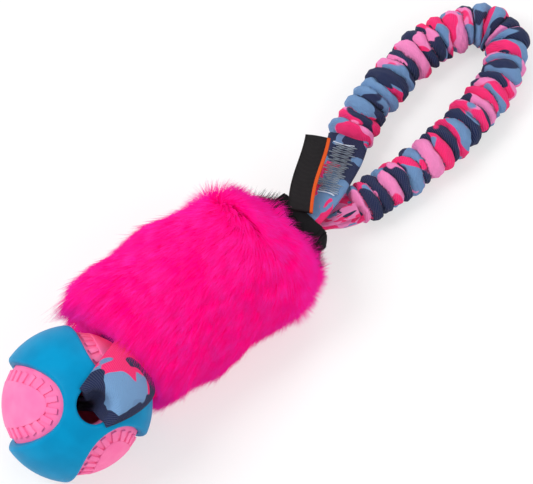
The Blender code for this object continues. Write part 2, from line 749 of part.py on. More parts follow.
def make_flat_ends(route, webbing, parts):
    """Makes the two flattened ends of the handle webbing that run into the bound end."""
    exit_x = sleeve_end() + TAPE_OVERHANG + GAP
    made = {}
    levels = {"upper_sewn_end": (1.5, route[0], route[1], UPPER_END_SHARES),
              "lower_sewn_end": (-1.5, route[-1], route[-2], LOWER_END_SHARES)}
    frames = {}
    for name, (level, end, inner, shares) in levels.items():
        leave = (inner - end).normalized()
        start = Vector((exit_x, join_side(), layer(level)))
        stop = end - leave * GAP
        rings = []
        frames[name] = flat_end_frames(start, stop, shares, leave)
        for point, tangent in frames[name]:
            across = Z_AXIS.cross(tangent).normalized()
            out = tangent.cross(across)
            share = min(max((point.x - exit_x) / (stop.x - exit_x), 0.0), 1.0)
            width = mix(JOIN_WIDTH, FOLDED_WIDTH, min(2 * share, 1.0))
            thickness = mix(WEBBING_THICKNESS, FOLDED_THICKNESS, min(2 * share, 1.0))
            rings.append(band_ring(point, across, out, width, thickness))
        made[name] = add_object(name, loft(name, rings), parts, webbing)
    return made, frames["upper_sewn_end"]


def make_stitches(upper_frames, parts):
    """Makes the zigzag seam on the upper flat end and the zigzag seam on the tape."""
    flat = upper_frames[len(upper_frames) // 2 : -1]
    seam = []
    for k in range(HANDLE_STITCHES):
        spot = k / (HANDLE_STITCHES - 1) * (len(flat) - 1)
        low = min(int(spot), len(flat) - 2)
        point = flat[low][0].lerp(flat[low + 1][0], spot - low)
        tangent = (flat[low + 1][0] - flat[low][0]).normalized()
        across = Z_AXIS.cross(tangent).normalized()
        lift = tangent.cross(across) * (FOLDED_THICKNESS / 2 + SEAM_LIFT)
        side = FOLDED_WIDTH / 3 * (1 if k % 2 else -1)
        seam.append(point + lift + across * side)
    thread = ribbed_tube("handle_stitches", seam, [THREAD_RADIUS] * len(seam), parts,
                         material("pale_thread", (0.55, 0.68, 0.8), 0.6))

    width, _ = join_half_sizes()
    level = tape_top() + GAP + THREAD_RADIUS
    row = []
    for k in range(TAPE_STITCHES):
        side = mix(-width, width, (k + 0.5) / TAPE_STITCHES) * TAPE_SEAM_SHARE
        x = tape_start() + TAPE_LENGTH * TAPE_STITCH_SHARES[k % 2]
        row.append(Vector((x, join_side() + side, level)))
    ribbed_tube("tape_stitches", row, [THREAD_RADIUS] * len(row), parts,
                material("dark_thread", (0.03, 0.03, 0.035), 0.7))
    return thread


def tape_top():
    """Returns the height of the tape's upper face."""
    return JOIN_HEIGHT + join_half_sizes()[1] + BACKING_WALL + GAP + TAPE_WALL


def make_label(parts):
    """Makes the folded woven label that stands off the binding tape."""
    height = tape_top() + GAP + LABEL_THICKNESS / 2
    root = Vector((tape_start() + TAPE_LENGTH * LABEL_ROOT_SHARE, join_side() + LABEL_WIDTH / 8, height))
    ahead = Vector((math.cos(LABEL_TURN), math.sin(LABEL_TURN), 0.0))
    across = Z_AXIS.cross(ahead)
    rings = []
    for k in range(LABEL_STEPS + 1):
        share = k / LABEL_STEPS
        point = root + ahead * LABEL_LENGTH * share + Z_AXIS * LABEL_RISE * share**2
        slope = (ahead * LABEL_LENGTH + Z_AXIS * 2 * LABEL_RISE * share).normalized()
        rings.append(band_ring(point, across, slope.cross(across), LABEL_WIDTH, LABEL_THICKNESS))
    cloth = material("label_cloth", (0.018, 0.014, 0.017), 0.85)
    return add_object("label", loft("label", rings), parts, cloth), root


def make_floor_cutter(cutters):
    """Returns the block that presses the soft pieces flat where they rest."""

    def build(work):
        bmesh.ops.create_cube(work, size=UNIT)

    made = add_object("floor_cutter", mesh_from("floor_cutter", build), cutters)
    made.dimensions = (3 * HANDLE_LENGTH, 3 * HANDLE_LENGTH, OVERRUN)
    made.location = (HANDLE_LENGTH / 2, 0.0, -OVERRUN / 2)
    return hide_cutter(made)


def main():
    """Builds the toy."""
    clear_scene()
    parts = new_collection("bungee_tug_toy")
    cutters = new_collection("cutters")
    floor = make_floor_cutter(cutters)
    centre = Vector((-BALL_REACH, BALL_ASIDE, ball_centre_height()))
    rings = strap_rings(centre)

    swing = add_pivot("ball_swing_axis", Vector((SLEEVE_MOUTH_X, sleeve_shift(0.0), JOIN_HEIGHT)), parts)
    lean = Matrix.Rotation(BALL_HEADING, 4, "Z") @ Matrix.Rotation(BALL_TILT, 4, "Y")
    spin = add_pivot("ball_turn_axis", centre, parts, swing, lean)
    make_ball(spin, parts, cutters)

    strap = add_object("ball_strap", loft("ball_strap", rings), parts,
                       material("strap_webbing", (0.6, 0.2, 0.4), 0.85))
    add_boolean(strap, floor)
    carried_by(strap, swing)

    make_sleeve(rings, parts, floor)
    sleeves, route, webbing = make_handle(parts, cutters, floor)
    ends, upper_frames = make_flat_ends(route, webbing, parts)
    thread = make_stitches(upper_frames, parts)
    label, root = make_label(parts)

    hem = Vector((sleeve_end() + TAPE_OVERHANG, join_side(), JOIN_HEIGHT))
    fold = add_pivot("handle_fold_axis", hem, parts)
    stretch = add_pivot("bungee_stretch_axis", route[2 * UPPER_LEG_RIBS], parts, fold)
    flap = add_pivot("label_flap_axis", root, parts)
    for thing in (sleeves["upper_leg_sleeve"], sleeves["lower_leg_sleeve"], bpy.data.objects["bungee_core"],
                  ends["upper_sewn_end"], ends["lower_sewn_end"], thread):
        carried_by(thing, fold)
    carried_by(sleeves["grip_sleeve"], stretch)
    carried_by(label, flap)


if __name__ == "__main__":
    main()
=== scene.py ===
"""Looks of the bungee tug toy: a windowed rubber ball, a fur sleeve and a gathered webbing handle.

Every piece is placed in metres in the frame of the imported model, which fixes its size and place.
"""

import json
import logging
import math
from collections.abc import Callable
from dataclasses import dataclass, field
from enum import Enum

import bmesh
import bpy
import numpy as np
from bpy.types import Material, Mesh, Node, NodeSocket, NodeTree, Object
from mathutils import Matrix, Vector, kdtree


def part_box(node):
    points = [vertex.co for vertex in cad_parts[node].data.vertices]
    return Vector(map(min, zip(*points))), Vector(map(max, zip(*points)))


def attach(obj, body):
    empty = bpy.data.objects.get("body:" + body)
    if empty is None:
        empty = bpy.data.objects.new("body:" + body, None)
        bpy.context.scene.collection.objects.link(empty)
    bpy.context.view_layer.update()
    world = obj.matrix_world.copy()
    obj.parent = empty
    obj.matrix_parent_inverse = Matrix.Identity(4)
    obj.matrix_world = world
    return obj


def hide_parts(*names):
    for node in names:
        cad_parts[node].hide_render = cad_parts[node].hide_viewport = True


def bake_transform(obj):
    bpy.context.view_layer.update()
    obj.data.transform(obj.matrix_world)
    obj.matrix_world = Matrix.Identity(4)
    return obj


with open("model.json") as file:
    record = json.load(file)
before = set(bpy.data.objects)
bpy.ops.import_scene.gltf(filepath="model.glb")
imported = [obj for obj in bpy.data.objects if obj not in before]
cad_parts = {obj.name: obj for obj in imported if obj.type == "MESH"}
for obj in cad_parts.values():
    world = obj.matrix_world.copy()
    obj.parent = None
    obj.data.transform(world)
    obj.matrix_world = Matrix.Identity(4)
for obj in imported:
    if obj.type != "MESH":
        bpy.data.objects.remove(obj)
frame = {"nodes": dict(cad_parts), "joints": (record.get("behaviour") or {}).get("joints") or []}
LOG = logging.getLogger("tug_toy")
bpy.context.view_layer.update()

Colour = tuple[float, float, float]
Fibre = tuple[Vector, Vector]
X_AXIS = Vector((1.0, 0.0, 0.0))
Y_AXIS = Vector((0.0, 1.0, 0.0))
Z_AXIS = Vector((0.0, 0.0, 1.0))
MERGE_DISTANCE = 0.00001
CURVE_STEPS = 24
TINY = 1e-9


class Body(Enum):
    """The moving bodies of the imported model."""

    FUR = "fur_body"
    STRAP = "strap_loop"
    BALL = "ball"
    HANDLE = "handle"
    GRIP = "grip"
    LABEL = "label"


@dataclass(frozen=True)
class Bend:
    """A piece's change from one body's motion to the next body's along X."""

    near: Body
    far: Body
    start: float
    end: float


def joint(name: str) -> dict:
    """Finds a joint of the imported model.

    Args:
        name: the joint's name.

    Returns:
        The joint's entry in the record.
    """
    return next(entry for entry in frame["joints"] if entry["name"] == name)


def pivot(name: str) -> Vector:
    """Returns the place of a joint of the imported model."""
    return Vector(joint(name)["pos_m"])


def deselect() -> None:
    """Leaves edit mode and deselects everything."""
    if bpy.context.object and bpy.context.object.mode != "OBJECT":
        bpy.ops.object.mode_set(mode="OBJECT")
    bpy.ops.object.select_all(action="DESELECT")


def named(name: str) -> Object:
    """Names the active object and its mesh.

    Args:
        name: the piece's name.

    Returns:
        The active object.
    """
    made = bpy.context.object
    made.name = name
    made.data.name = name
    return made


def primitive(name: str, adder: Callable, **settings: object) -> Object:
    """Adds one of Blender's mesh primitives.

    Args:
        name: the piece's name.
        adder: the operator that adds it.
        settings: the primitive's own settings.

    Returns:
        The object.
    """
    deselect()
    adder(**settings)
    return named(name)


def pick(*things: Object) -> None:
    """Selects only the given objects and makes the first one active.

    Args:
        things: the objects.
    """
    deselect()
    for thing in things:
        thing.select_set(True)
    bpy.context.view_layer.objects.active = things[0]


def placed(name: str, data: bpy.types.ID) -> Object:
    """Puts an object for a mesh, curve, lamp or camera into the scene.

    Args:
        name: the object's name.
        data: its mesh, curve, lamp or camera.

    Returns:
        The object.
    """
    made = bpy.data.objects.new(name, data)
    bpy.context.scene.collection.objects.link(made)
    return made


def finished(thing: Object, matrix: Matrix | None = None) -> None:
    """Applies an object's modifiers and moves its place into its mesh.

    Args:
        thing: the object.
        matrix: a further placement for the mesh.
    """
    pick(thing)
    for modifier in list(thing.modifiers):
        bpy.ops.object.modifier_apply(modifier=modifier.name)
    thing.data.transform((matrix or Matrix.Identity(4)) @ thing.matrix_world)
    thing.matrix_world = Matrix.Identity(4)


def from_arrays(name: str, points: np.ndarray, faces: np.ndarray) -> Object:
    """Makes a smooth mesh object from arrays.

    Args:
        name: the piece's name.
        points: one row of coordinates for each vertex.
        faces: one row of vertex numbers for each face, all of one size.

    Returns:
        The object.
    """
    mesh = bpy.data.meshes.new(name)
    size = faces.shape[1]
    mesh.vertices.add(len(points))
    mesh.vertices.foreach_set("co", np.ascontiguousarray(points, np.float32).ravel())
    mesh.loops.add(faces.size)
    mesh.loops.foreach_set("vertex_index", np.ascontiguousarray(faces, np.int32).ravel())
    mesh.polygons.add(len(faces))
    mesh.polygons.foreach_set("loop_start", np.arange(0, faces.size, size, dtype=np.int32))
    mesh.update(calc_edges=True)
    mesh.validate()
    mesh.shade_smooth()
    return placed(name, mesh)


def paint_vectors(thing: Object, name: str, values: np.ndarray) -> None:
    """Stores a vector on each vertex.

    Args:
        thing: the object.
        name: the attribute's name.
        values: one row of three numbers for each vertex.
    """
    attribute = thing.data.attributes.new(name, "FLOAT_VECTOR", "POINT")
    attribute.data.foreach_set("vector", np.ascontiguousarray(values, np.float32).ravel())


def paint_cloth(thing: Object, across: np.ndarray, lift: np.ndarray, along: np.ndarray) -> None:
    """Stores where each vertex lies on the flat printed cloth.

    Args:
        thing: the object.
        across: the place across the cloth, for each point of a ring or of all rings.
        lift: the place along the print's third direction.
        along: the place along the cloth.
    """
    paint_vectors(thing, "cloth", np.stack(np.broadcast_arrays(across, lift, along), -1))


def mend(mesh: Mesh, merge: bool = False, close: bool = False, turn: bool = True) -> None:
    """Merges, closes and turns outwards what a mesh needs.

    Args:
        mesh: the mesh.
        merge: merges vertices that lie in one place.
        close: closes open ends with a face.
        turn: turns all faces outwards.
    """
    work = bmesh.new()
    work.from_mesh(mesh)
    if merge:
        bmesh.ops.remove_doubles(work, verts=work.verts, dist=MERGE_DISTANCE)
    if close:
        bmesh.ops.holes_fill(work, edges=work.edges, sides=0)
    if turn:
        bmesh.ops.recalc_face_normals(work, faces=work.faces)
    work.to_mesh(mesh)
    work.free()


def grid_faces(rows: int, columns: int) -> np.ndarray:
    """Numbers the quads of a skin whose columns close on themselves.

    Args:
        rows: the number of rings.
        columns: the number of points in a ring.

    Returns:
        One row of four vertex numbers for each quad.
    """
    i, j = np.meshgrid(np.arange(rows - 1), np.arange(columns), indexing="ij")
    k = (j + 1) % columns
    quads = np.stack([i * columns + j, i * columns + k, (i + 1) * columns + k, (i + 1) * columns + j], -1)
    return quads.reshape(-1, 4)


def tube(name: str, rings: np.ndarray) -> Object:
    """Makes a closed skin through rings of an even number of points.

    Args:
        name: the piece's name.
        rings: a ring of points for each station along the piece.

    Returns:
        The object, with a strip of quads across each end.
    """
    rows, columns = rings.shape[:2]
    strips = []
    for base, flip in ((0, True), ((rows - 1) * columns, False)):
        for i in range(columns // 2 - 1):
            strip = [base + i, base + i + 1, base + columns - 2 - i, base + columns - 1 - i]
            strips.append(strip[::-1] if flip else strip)
    faces = np.concatenate([grid_faces(rows, columns), np.array(strips)])
    made = from_arrays(name, rings.reshape(-1, 3), faces)
    mend(made.data)
    return made


def unit(vectors: np.ndarray) -> np.ndarray:
    """Returns each vector at a length of one."""
    return vectors / np.maximum(np.linalg.norm(vectors, axis=-1, keepdims=True), TINY)


def run_length(points: np.ndarray) -> np.ndarray:
    """Returns how far along a line each of its points lies."""
    return np.concatenate([[0.0], np.cumsum(np.linalg.norm(np.diff(points, axis=0), axis=1))])


def smooth_route(knots: np.ndarray, samples: int) -> np.ndarray:
    """Runs a smooth curve through points.

    Args:
        knots: the points, one to a row.
        samples: the number of points wanted.

    Returns:
        Points spread evenly along the curve.
    """
    knots = np.asarray(knots, float)
    longer = np.vstack([2 * knots[0] - knots[1], knots, 2 * knots[-1] - knots[-2]])
    fine = []
    for a, b, c, d in zip(longer, longer[1:], longer[2:], longer[3:]):
        for t in np.linspace(0.0, 1.0, CURVE_STEPS, endpoint=False):
            fine.append((2 * b + (c - a) * t + (2 * a - 5 * b + 4 * c - d) * t**2
                         + (3 * b - a - 3 * c + d) * t**3) / 2)
    fine = np.array(fine + [knots[-1]])
    reach = run_length(fine)
    wanted = np.linspace(0.0, reach[-1], samples)
    return np.stack([np.interp(wanted, reach, fine[:, axis]) for axis in range(3)], 1)


def slopes(points: np.ndarray) -> np.ndarray:
    """Returns the unit direction of a line of points at each of them."""
    return unit(np.gradient(points, axis=0))


def sides(line: np.ndarray) -> tuple[np.ndarray, np.ndarray]:
    """Finds the level side and the upward side of a line.

    Args:
        line: points along the line.

    Returns:
        Both unit directions at each point.
    """
    heading = slopes(line)
    side = unit(np.cross(heading, [0.0, 0.0, 1.0]))
    return side, np.cross(side, heading)


def angles(count: int) -> np.ndarray:
    """Returns angles spread evenly over a full turn."""
    return np.linspace(0.0, 2.0 * math.pi, count, endpoint=False)


def spokes_round(line: np.ndarray, turns: np.ndarray) -> np.ndarray:
    """Returns a ring of unit directions round each point of a line, one for each angle."""
    side, up = sides(line)
    return side[:, None] * np.cos(turns)[None, :, None] + up[:, None] * np.sin(turns)[None, :, None]


def squircle(turns: np.ndarray, power: float) -> tuple[np.ndarray, np.ndarray]:
    """Returns both coordinates of a rounded square at each angle."""
    cos, sin = np.cos(turns), np.sin(turns)
    return np.sign(cos) * np.abs(cos) ** power, np.sign(sin) * np.abs(sin) ** power


def smoothstep(low: float, high: float, values: np.ndarray) -> np.ndarray:
    """Returns a share that eases from 0 at low to 1 at high."""
    share = np.clip((values - low) / (high - low), 0.0, 1.0)
    return share * share * (3.0 - 2.0 * share)


class Nodes:
    """Adds nodes to one tree and joins them."""

    def __init__(self, tree: NodeTree) -> None:
        """Keeps the tree that the nodes go into."""
        self.tree = tree

    def add(self, kind: str, settings: dict | None = None, **sockets: object) -> Node:
        """Adds a node.

        Args:
            kind: the node's type name.
            settings: values for the node's own properties.
            sockets: a value or an output for each input, by its name with _ for a space.

        Returns:
            The node.
        """
        node = self.tree.nodes.new(kind)
        for key, value in (settings or {}).items():
            setattr(node, key, value)
        self.fill(node, **sockets)
        return node

    def fill(self, node: Node, **sockets: object) -> None:
        """Feeds a node's inputs, each by its name with _ for a space."""
        for key, value in sockets.items():
            self.feed(node.inputs[key.replace("_", " ")], value)

    def feed(self, socket: NodeSocket, value: object) -> None:
        """Links an output to a socket or sets its value, and makes a bare colour opaque.

        Args:
            socket: an input of a node.
            value: an output, a number, a vector or a colour.
        """
        if isinstance(value, NodeSocket):
            self.tree.links.new(value, socket)
        elif socket.type == "RGBA" and len(value) == 3:
            socket.default_value = (*value, 1.0)
        else:
            socket.default_value = value

    def maths(self, operation: str, first: object, second: object = 0.5, third: object = 0.5) -> NodeSocket:
        """Adds a Math node.

        Args:
            operation: the node's operation.
            first: a number or an output.
            second: the same for the second input.
            third: the same for the third input, where the operation has one.

        Returns:
            The node's output.
        """
        node = self.add("ShaderNodeMath", {"operation": operation})
        for socket, value in zip(node.inputs, (first, second, third)):
            self.feed(socket, value)
        return node.outputs[0]

    def mixed(self, share: object, first: object, second: object) -> NodeSocket:
        """Adds a colour Mix node.

        Args:
            share: how much of the second colour shows.
            first: a colour or an output.
            second: the other colour or output.

        Returns:
            The node's output.
        """
        node = self.add("ShaderNodeMix", {"data_type": "RGBA"})
        for place, value in ((0, share), (6, first), (7, second)):
            self.feed(node.inputs[place], value)
        return node.outputs[2]

    def eased(self, value: object, low: float, high: float) -> NodeSocket:
        """Adds a smooth Map Range node from low to high.

        Args:
            value: the output that is read.
            low: the value that gives 0.
            high: the value that gives 1.

        Returns:
            The node's output.
        """
        node = self.add("ShaderNodeMapRange", {"interpolation_type": "SMOOTHSTEP"}, Value=value,
                        From_Min=low, From_Max=high)
        return node.outputs[0]

    def moved(self, place: NodeSocket, shift: Colour) -> NodeSocket:
        """Adds a fixed shift to a place.

        Args:
            place: the output that gives the place.
            shift: the shift.

        Returns:
            The node's output.
        """
        node = self.add("ShaderNodeVectorMath", {"operation": "ADD"}, Vector=place)
        node.inputs[1].default_value = shift
        return node.outputs[0]

    def shrunk(self, place: NodeSocket, size: NodeSocket) -> NodeSocket:
        """Divides a place by a size and returns the output."""
        return self.add("ShaderNodeVectorMath", {"operation": "SCALE"}, Vector=place,
                        Scale=self.maths("DIVIDE", 1.0, size)).outputs[0]

    def noise(self, place: NodeSocket, **sockets: float) -> NodeSocket:
        """Adds a Noise Texture node and returns its value."""
        return self.add("ShaderNodeTexNoise", Vector=place, **sockets).outputs[0]

    def bumped(self, height: NodeSocket, distance: float) -> NodeSocket:
        """Adds a Bump node and returns its normal."""
        return self.add("ShaderNodeBump", Height=height, Distance=distance).outputs[0]

    def group(self, tree: NodeTree, **sockets: object) -> object:
        """Adds a shared group and returns its outputs."""
        return self.add("ShaderNodeGroup", {"node_tree": tree}, **sockets).outputs


def new_group(name: str, inputs: dict[str, str], outputs: dict[str, str]) -> tuple[Nodes, dict, dict]:
    """Starts a shader node group.

    Args:
        name: the group's name.
        inputs: Vector, Float or Color for each input, by its name.
        outputs: the same for each output.

    Returns:
        The group's nodes, its input sockets and its output sockets.
    """
    tree = bpy.data.node_groups.new(name, "ShaderNodeTree")
    for direction, table in (("INPUT", inputs), ("OUTPUT", outputs)):
        for key, kind in table.items():
            tree.interface.new_socket(name=key, in_out=direction, socket_type="NodeSocket" + kind)
    nodes = Nodes(tree)
    entry = nodes.add("NodeGroupInput")
    leave = nodes.add("NodeGroupOutput")
    return nodes, {key: entry.outputs[key] for key in inputs}, {key: leave.inputs[key] for key in outputs}


def twill_group() -> NodeTree:
    """Builds the fine diagonal weave of the webbing, read from cloth coordinates in metres.

    Returns:
        A group that gives the weave's height.
    """
    nodes, entry, leave = new_group("twill_weave", {"Cloth": "Vector", "Pitch": "Float"}, {"Height": "Float"})
    across, _, along = nodes.add("ShaderNodeSeparateXYZ", Vector=entry["Cloth"]).outputs
    lines = []
    for share, step in ((1.0, 1.0), (-0.6, 1.6)):
        slant = nodes.maths("ADD", nodes.maths("MULTIPLY", across, share), along)
        turn = nodes.maths("DIVIDE", nodes.maths("MULTIPLY", slant, 2.0 * math.pi * step), entry["Pitch"])
        lines.append(nodes.maths("MULTIPLY_ADD", nodes.maths("SINE", turn)))
    nodes.feed(leave["Height"], nodes.maths("MULTIPLY", lines[0], nodes.maths("MULTIPLY_ADD", lines[1])))
    return nodes.tree


def camouflage_group() -> NodeTree:
    """Builds a generic four colour camouflage print, read from cloth coordinates in metres.

    Returns:
        A group that gives the print's colour.
    """
    inputs = {"Cloth": "Vector", "Blot": "Float", "Drift": "Float", "Cool": "Float", "Ground": "Color",
              "Second": "Color", "Third": "Color", "Dark": "Color"}
    nodes, entry, leave = new_group("camouflage_print", inputs, {"Colour": "Color"})
    place = nodes.shrunk(entry["Cloth"], entry["Blot"])
    colour = entry["Ground"]
    parts = nodes.add("ShaderNodeSeparateXYZ", Vector=place).outputs
    side = nodes.maths("SUBTRACT", parts[0], parts[2])
    soft_edge = 0.006
    layers = (("Second", 0.515, 3.1, 1.0), ("Third", 0.52, 11.7, -0.3), ("Dark", 0.53, 23.9, -1.0))
    for layer, threshold, shift, lean in layers:
        moved = nodes.moved(place, (shift, shift * 0.7, -shift))
        noise = nodes.noise(moved, Scale=1.0, Detail=2.0, Roughness=0.45, Distortion=0.35)
        drift = nodes.maths("MULTIPLY", nodes.maths("MULTIPLY", side, lean), entry["Drift"])
        level = nodes.maths("ADD", noise, drift)
        if layer != "Second":
            level = nodes.maths("ADD", level, entry["Cool"])
        edge = nodes.eased(level, threshold - soft_edge, threshold + soft_edge)
        colour = nodes.mixed(edge, colour, entry[layer])
    nodes.feed(leave["Colour"], colour)
    return nodes.tree


def mottle_group() -> NodeTree:
    """Builds soft uneven tone for moulded and woven surfaces.

    Returns:
        A group that gives a broad tone and a fine grain.
    """
    nodes, entry, leave = new_group("mottle", {"Place": "Vector", "Size": "Float"},
                                    {"Tone": "Float", "Grain": "Float"})
    place = nodes.shrunk(entry["Place"], entry["Size"])
    nodes.feed(leave["Tone"], nodes.noise(place, Scale=1.0, Detail=2.0))
    nodes.feed(leave["Grain"], nodes.noise(place, Scale=22.0, Detail=3.0))
    return nodes.tree


class Groups:
    """The shader groups that several finishes share."""

    def __init__(self) -> None:
        """Builds each group once."""
        self.twill = twill_group()
        self.camouflage = camouflage_group()
        self.mottle = mottle_group()


def new_material(name: str) -> tuple[Material, Nodes, Node]:
    """Starts a material.

    Args:
        name: the material's name.

    Returns:
        The material, its nodes and its Principled shader.
    """
    made = bpy.data.materials.new(name)
    made.use_nodes = True
    return made, Nodes(made.node_tree), made.node_tree.nodes["Principled BSDF"]


@dataclass(frozen=True)
class RubberFinish:
    """Moulded rubber with a soft satin skin."""

    name: str
    colour: Colour
    deep: Colour
    roughness: float = 0.42
    gloss: float = 0.06
    grain_size: float = 0.012
    grain_depth: float = 0.00005

    def build(self, groups: Groups) -> Material:
        """Builds the material from the shared groups.

        Args:
            groups: the shared shader groups.

        Returns:
            The material.
        """
        made, nodes, shader = new_material(self.name)
        place = nodes.add("ShaderNodeTexCoord").outputs["Object"]
        mottle = nodes.group(groups.mottle, Place=place, Size=self.grain_size)
        share = nodes.eased(mottle["Tone"], 0.3, 0.7)
        rough = nodes.add("ShaderNodeMapRange", Value=mottle["Grain"], To_Min=self.roughness - 0.05,
                          To_Max=self.roughness + 0.08)
        nodes.fill(shader, Base_Color=nodes.mixed(share, self.deep, self.colour), Roughness=rough.outputs[0],
                   Normal=nodes.bumped(mottle["Grain"], self.grain_depth), Specular_IOR_Level=self.gloss)
        return made


@dataclass(frozen=True)
class PrintedWebbing:
    """Camouflage printed tubular webbing, whose cloth coordinates are an attribute of the piece."""

    name: str
    blot: float
    pitch: float = 0.0011
    ground: Colour = (0.95, 0.25, 0.56)
    crimson: Colour = (0.97, 0.012, 0.17)
    blue: Colour = (0.15, 0.29, 0.53)
    navy: Colour = (0.008, 0.016, 0.070)
    # Pale blue-grey that the raised threads of the weave lean towards.
    weave_pale: Colour = (0.55, 0.6, 0.75)
    weave_pale_share: float = 0.09
    rumple_size: float = 0.0032
    rumple_share: float = 3.0
    depth: float = 0.00024
    shift: Colour = (0.0, 0.0, 0.0)
    drift: float = 0.0
    cool: float = 0.0

    def build(self, groups: Groups) -> Material:
        """Builds the material from the shared groups.

        Args:
            groups: the shared shader groups.

        Returns:
            The material.
        """
        made, nodes, shader = new_material(self.name)
        cloth = nodes.add("ShaderNodeAttribute", {"attribute_name": "cloth"}).outputs["Vector"]
        inks = nodes.group(groups.camouflage, Cloth=nodes.moved(cloth, self.shift), Blot=self.blot,
                           Drift=self.drift, Cool=self.cool, Ground=self.ground, Second=self.crimson,
                           Third=self.blue, Dark=self.navy)[0]
        weave = nodes.group(groups.twill, Cloth=cloth, Pitch=self.pitch)["Height"]
        mottle = nodes.group(groups.mottle, Place=cloth, Size=self.rumple_size)
        # Paler towards the raised threads of the weave.
        surface_tone = nodes.mixed(weave, inks, nodes.mixed(self.weave_pale_share, inks, self.weave_pale))
        rumple = nodes.maths("MULTIPLY", mottle["Tone"], self.rumple_share)
        height = nodes.maths("ADD", weave, nodes.maths("ADD", rumple, mottle["Grain"]))
        nodes.fill(shader, Base_Color=surface_tone, Normal=nodes.bumped(height, self.depth), Roughness=0.82,
                   Sheen_Weight=0.05, Specular_IOR_Level=0.12)
        return made


@dataclass(frozen=True)
class PileFinish:
    """Fur fibres with a painted glow, whose place along the strand and whose tuft are an attribute of the
    piece.
    """

    name: str = "magenta_pile"
    # Painted shade: the root colour is darker where the pile's depths lie in shade. Single strands are also
    # darkened towards it at random.
    root: Colour = (0.62, 0.0, 0.10)
    body: Colour = (0.96, 0.0, 0.29)
    # Painted highlight: the tip colour is a lighter pink for the lit ends of the strands.
    tip: Colour = (1.0, 0.035, 0.52)
    # Painted light: the emission strength makes the pile glow although it is no lamp.
    glow: float = 0.31

    def build(self) -> Material:
        """Builds the material.

        Returns:
            The material.
        """
        made, nodes, shader = new_material(self.name)
        strand = nodes.add("ShaderNodeAttribute", {"attribute_name": "strand"}).outputs["Vector"]
        along, tuft, single = nodes.add("ShaderNodeSeparateXYZ", Vector=strand).outputs
        # Painted shade: each strand darkens towards its root.
        lower = nodes.mixed(nodes.eased(along, 0.0, 0.45), self.root, self.body)
        reach = nodes.maths("MULTIPLY", nodes.eased(along, 0.5, 1.0), nodes.maths("ADD", tuft, 0.35))
        # Painted highlight: each strand lightens towards its tip, more in some tufts.
        surface_tone = nodes.mixed(reach, lower, self.tip)
        shade = nodes.mixed(nodes.maths("MULTIPLY", single, 0.5), surface_tone, self.root)
        # The pile's colour is also given as emission, painted light that brightens it.
        nodes.fill(shader, Base_Color=shade, Emission_Color=shade, Emission_Strength=self.glow,
                   Roughness=0.7, Specular_IOR_Level=0.02)
        return made


@dataclass(frozen=True)
class WovenFinish:
    """Plain woven tape, label cloth or thread, read from object coordinates."""

    name: str
    colour: Colour
    light: Colour
    pitch: float = 0.0007
    depth: float = 0.00012
    roughness: float = 0.8
    mottle_size: float = 0.004

    def build(self, groups: Groups) -> Material:
        """Builds the material from the shared groups.

        Args:
            groups: the shared shader groups.

        Returns:
            The material.
        """
        made, nodes, shader = new_material(self.name)
        place = nodes.add("ShaderNodeTexCoord").outputs["Object"]
        weave = nodes.group(groups.twill, Cloth=place, Pitch=self.pitch)["Height"]
        tone = nodes.group(groups.mottle, Place=place, Size=self.mottle_size)["Tone"]
        shade = nodes.mixed(nodes.maths("MULTIPLY", weave, tone), self.colour, self.light)
        nodes.fill(shader, Base_Color=shade, Normal=nodes.bumped(weave, self.depth),
                   Roughness=self.roughness, Specular_IOR_Level=0.15)
        return made


def dress(thing: Object, surface: Material, slot: str, carrier: Body | Bend,
          *nodes: str) -> None:
    """Gives a finished piece its material, parents it to its body or bakes its place into its mesh, and hides
    the nodes it stands for.

    Args:
        thing: the piece.
        surface: its material.
        slot: not used.
        carrier: the body that carries it, or the bend between two, for which the piece's place is only baked
            into its mesh.
        nodes: the CAD nodes that it replaces.
    """
    thing.data.materials.clear()
    thing.data.materials.append(surface)
    if isinstance(carrier, Bend):
        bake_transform(thing)
    else:
        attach(thing, carrier.value)
    if nodes:
        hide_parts(*nodes)
    LOG.info("%s: %d faces, moves with %s", thing.name, len(thing.data.polygons), carrier)


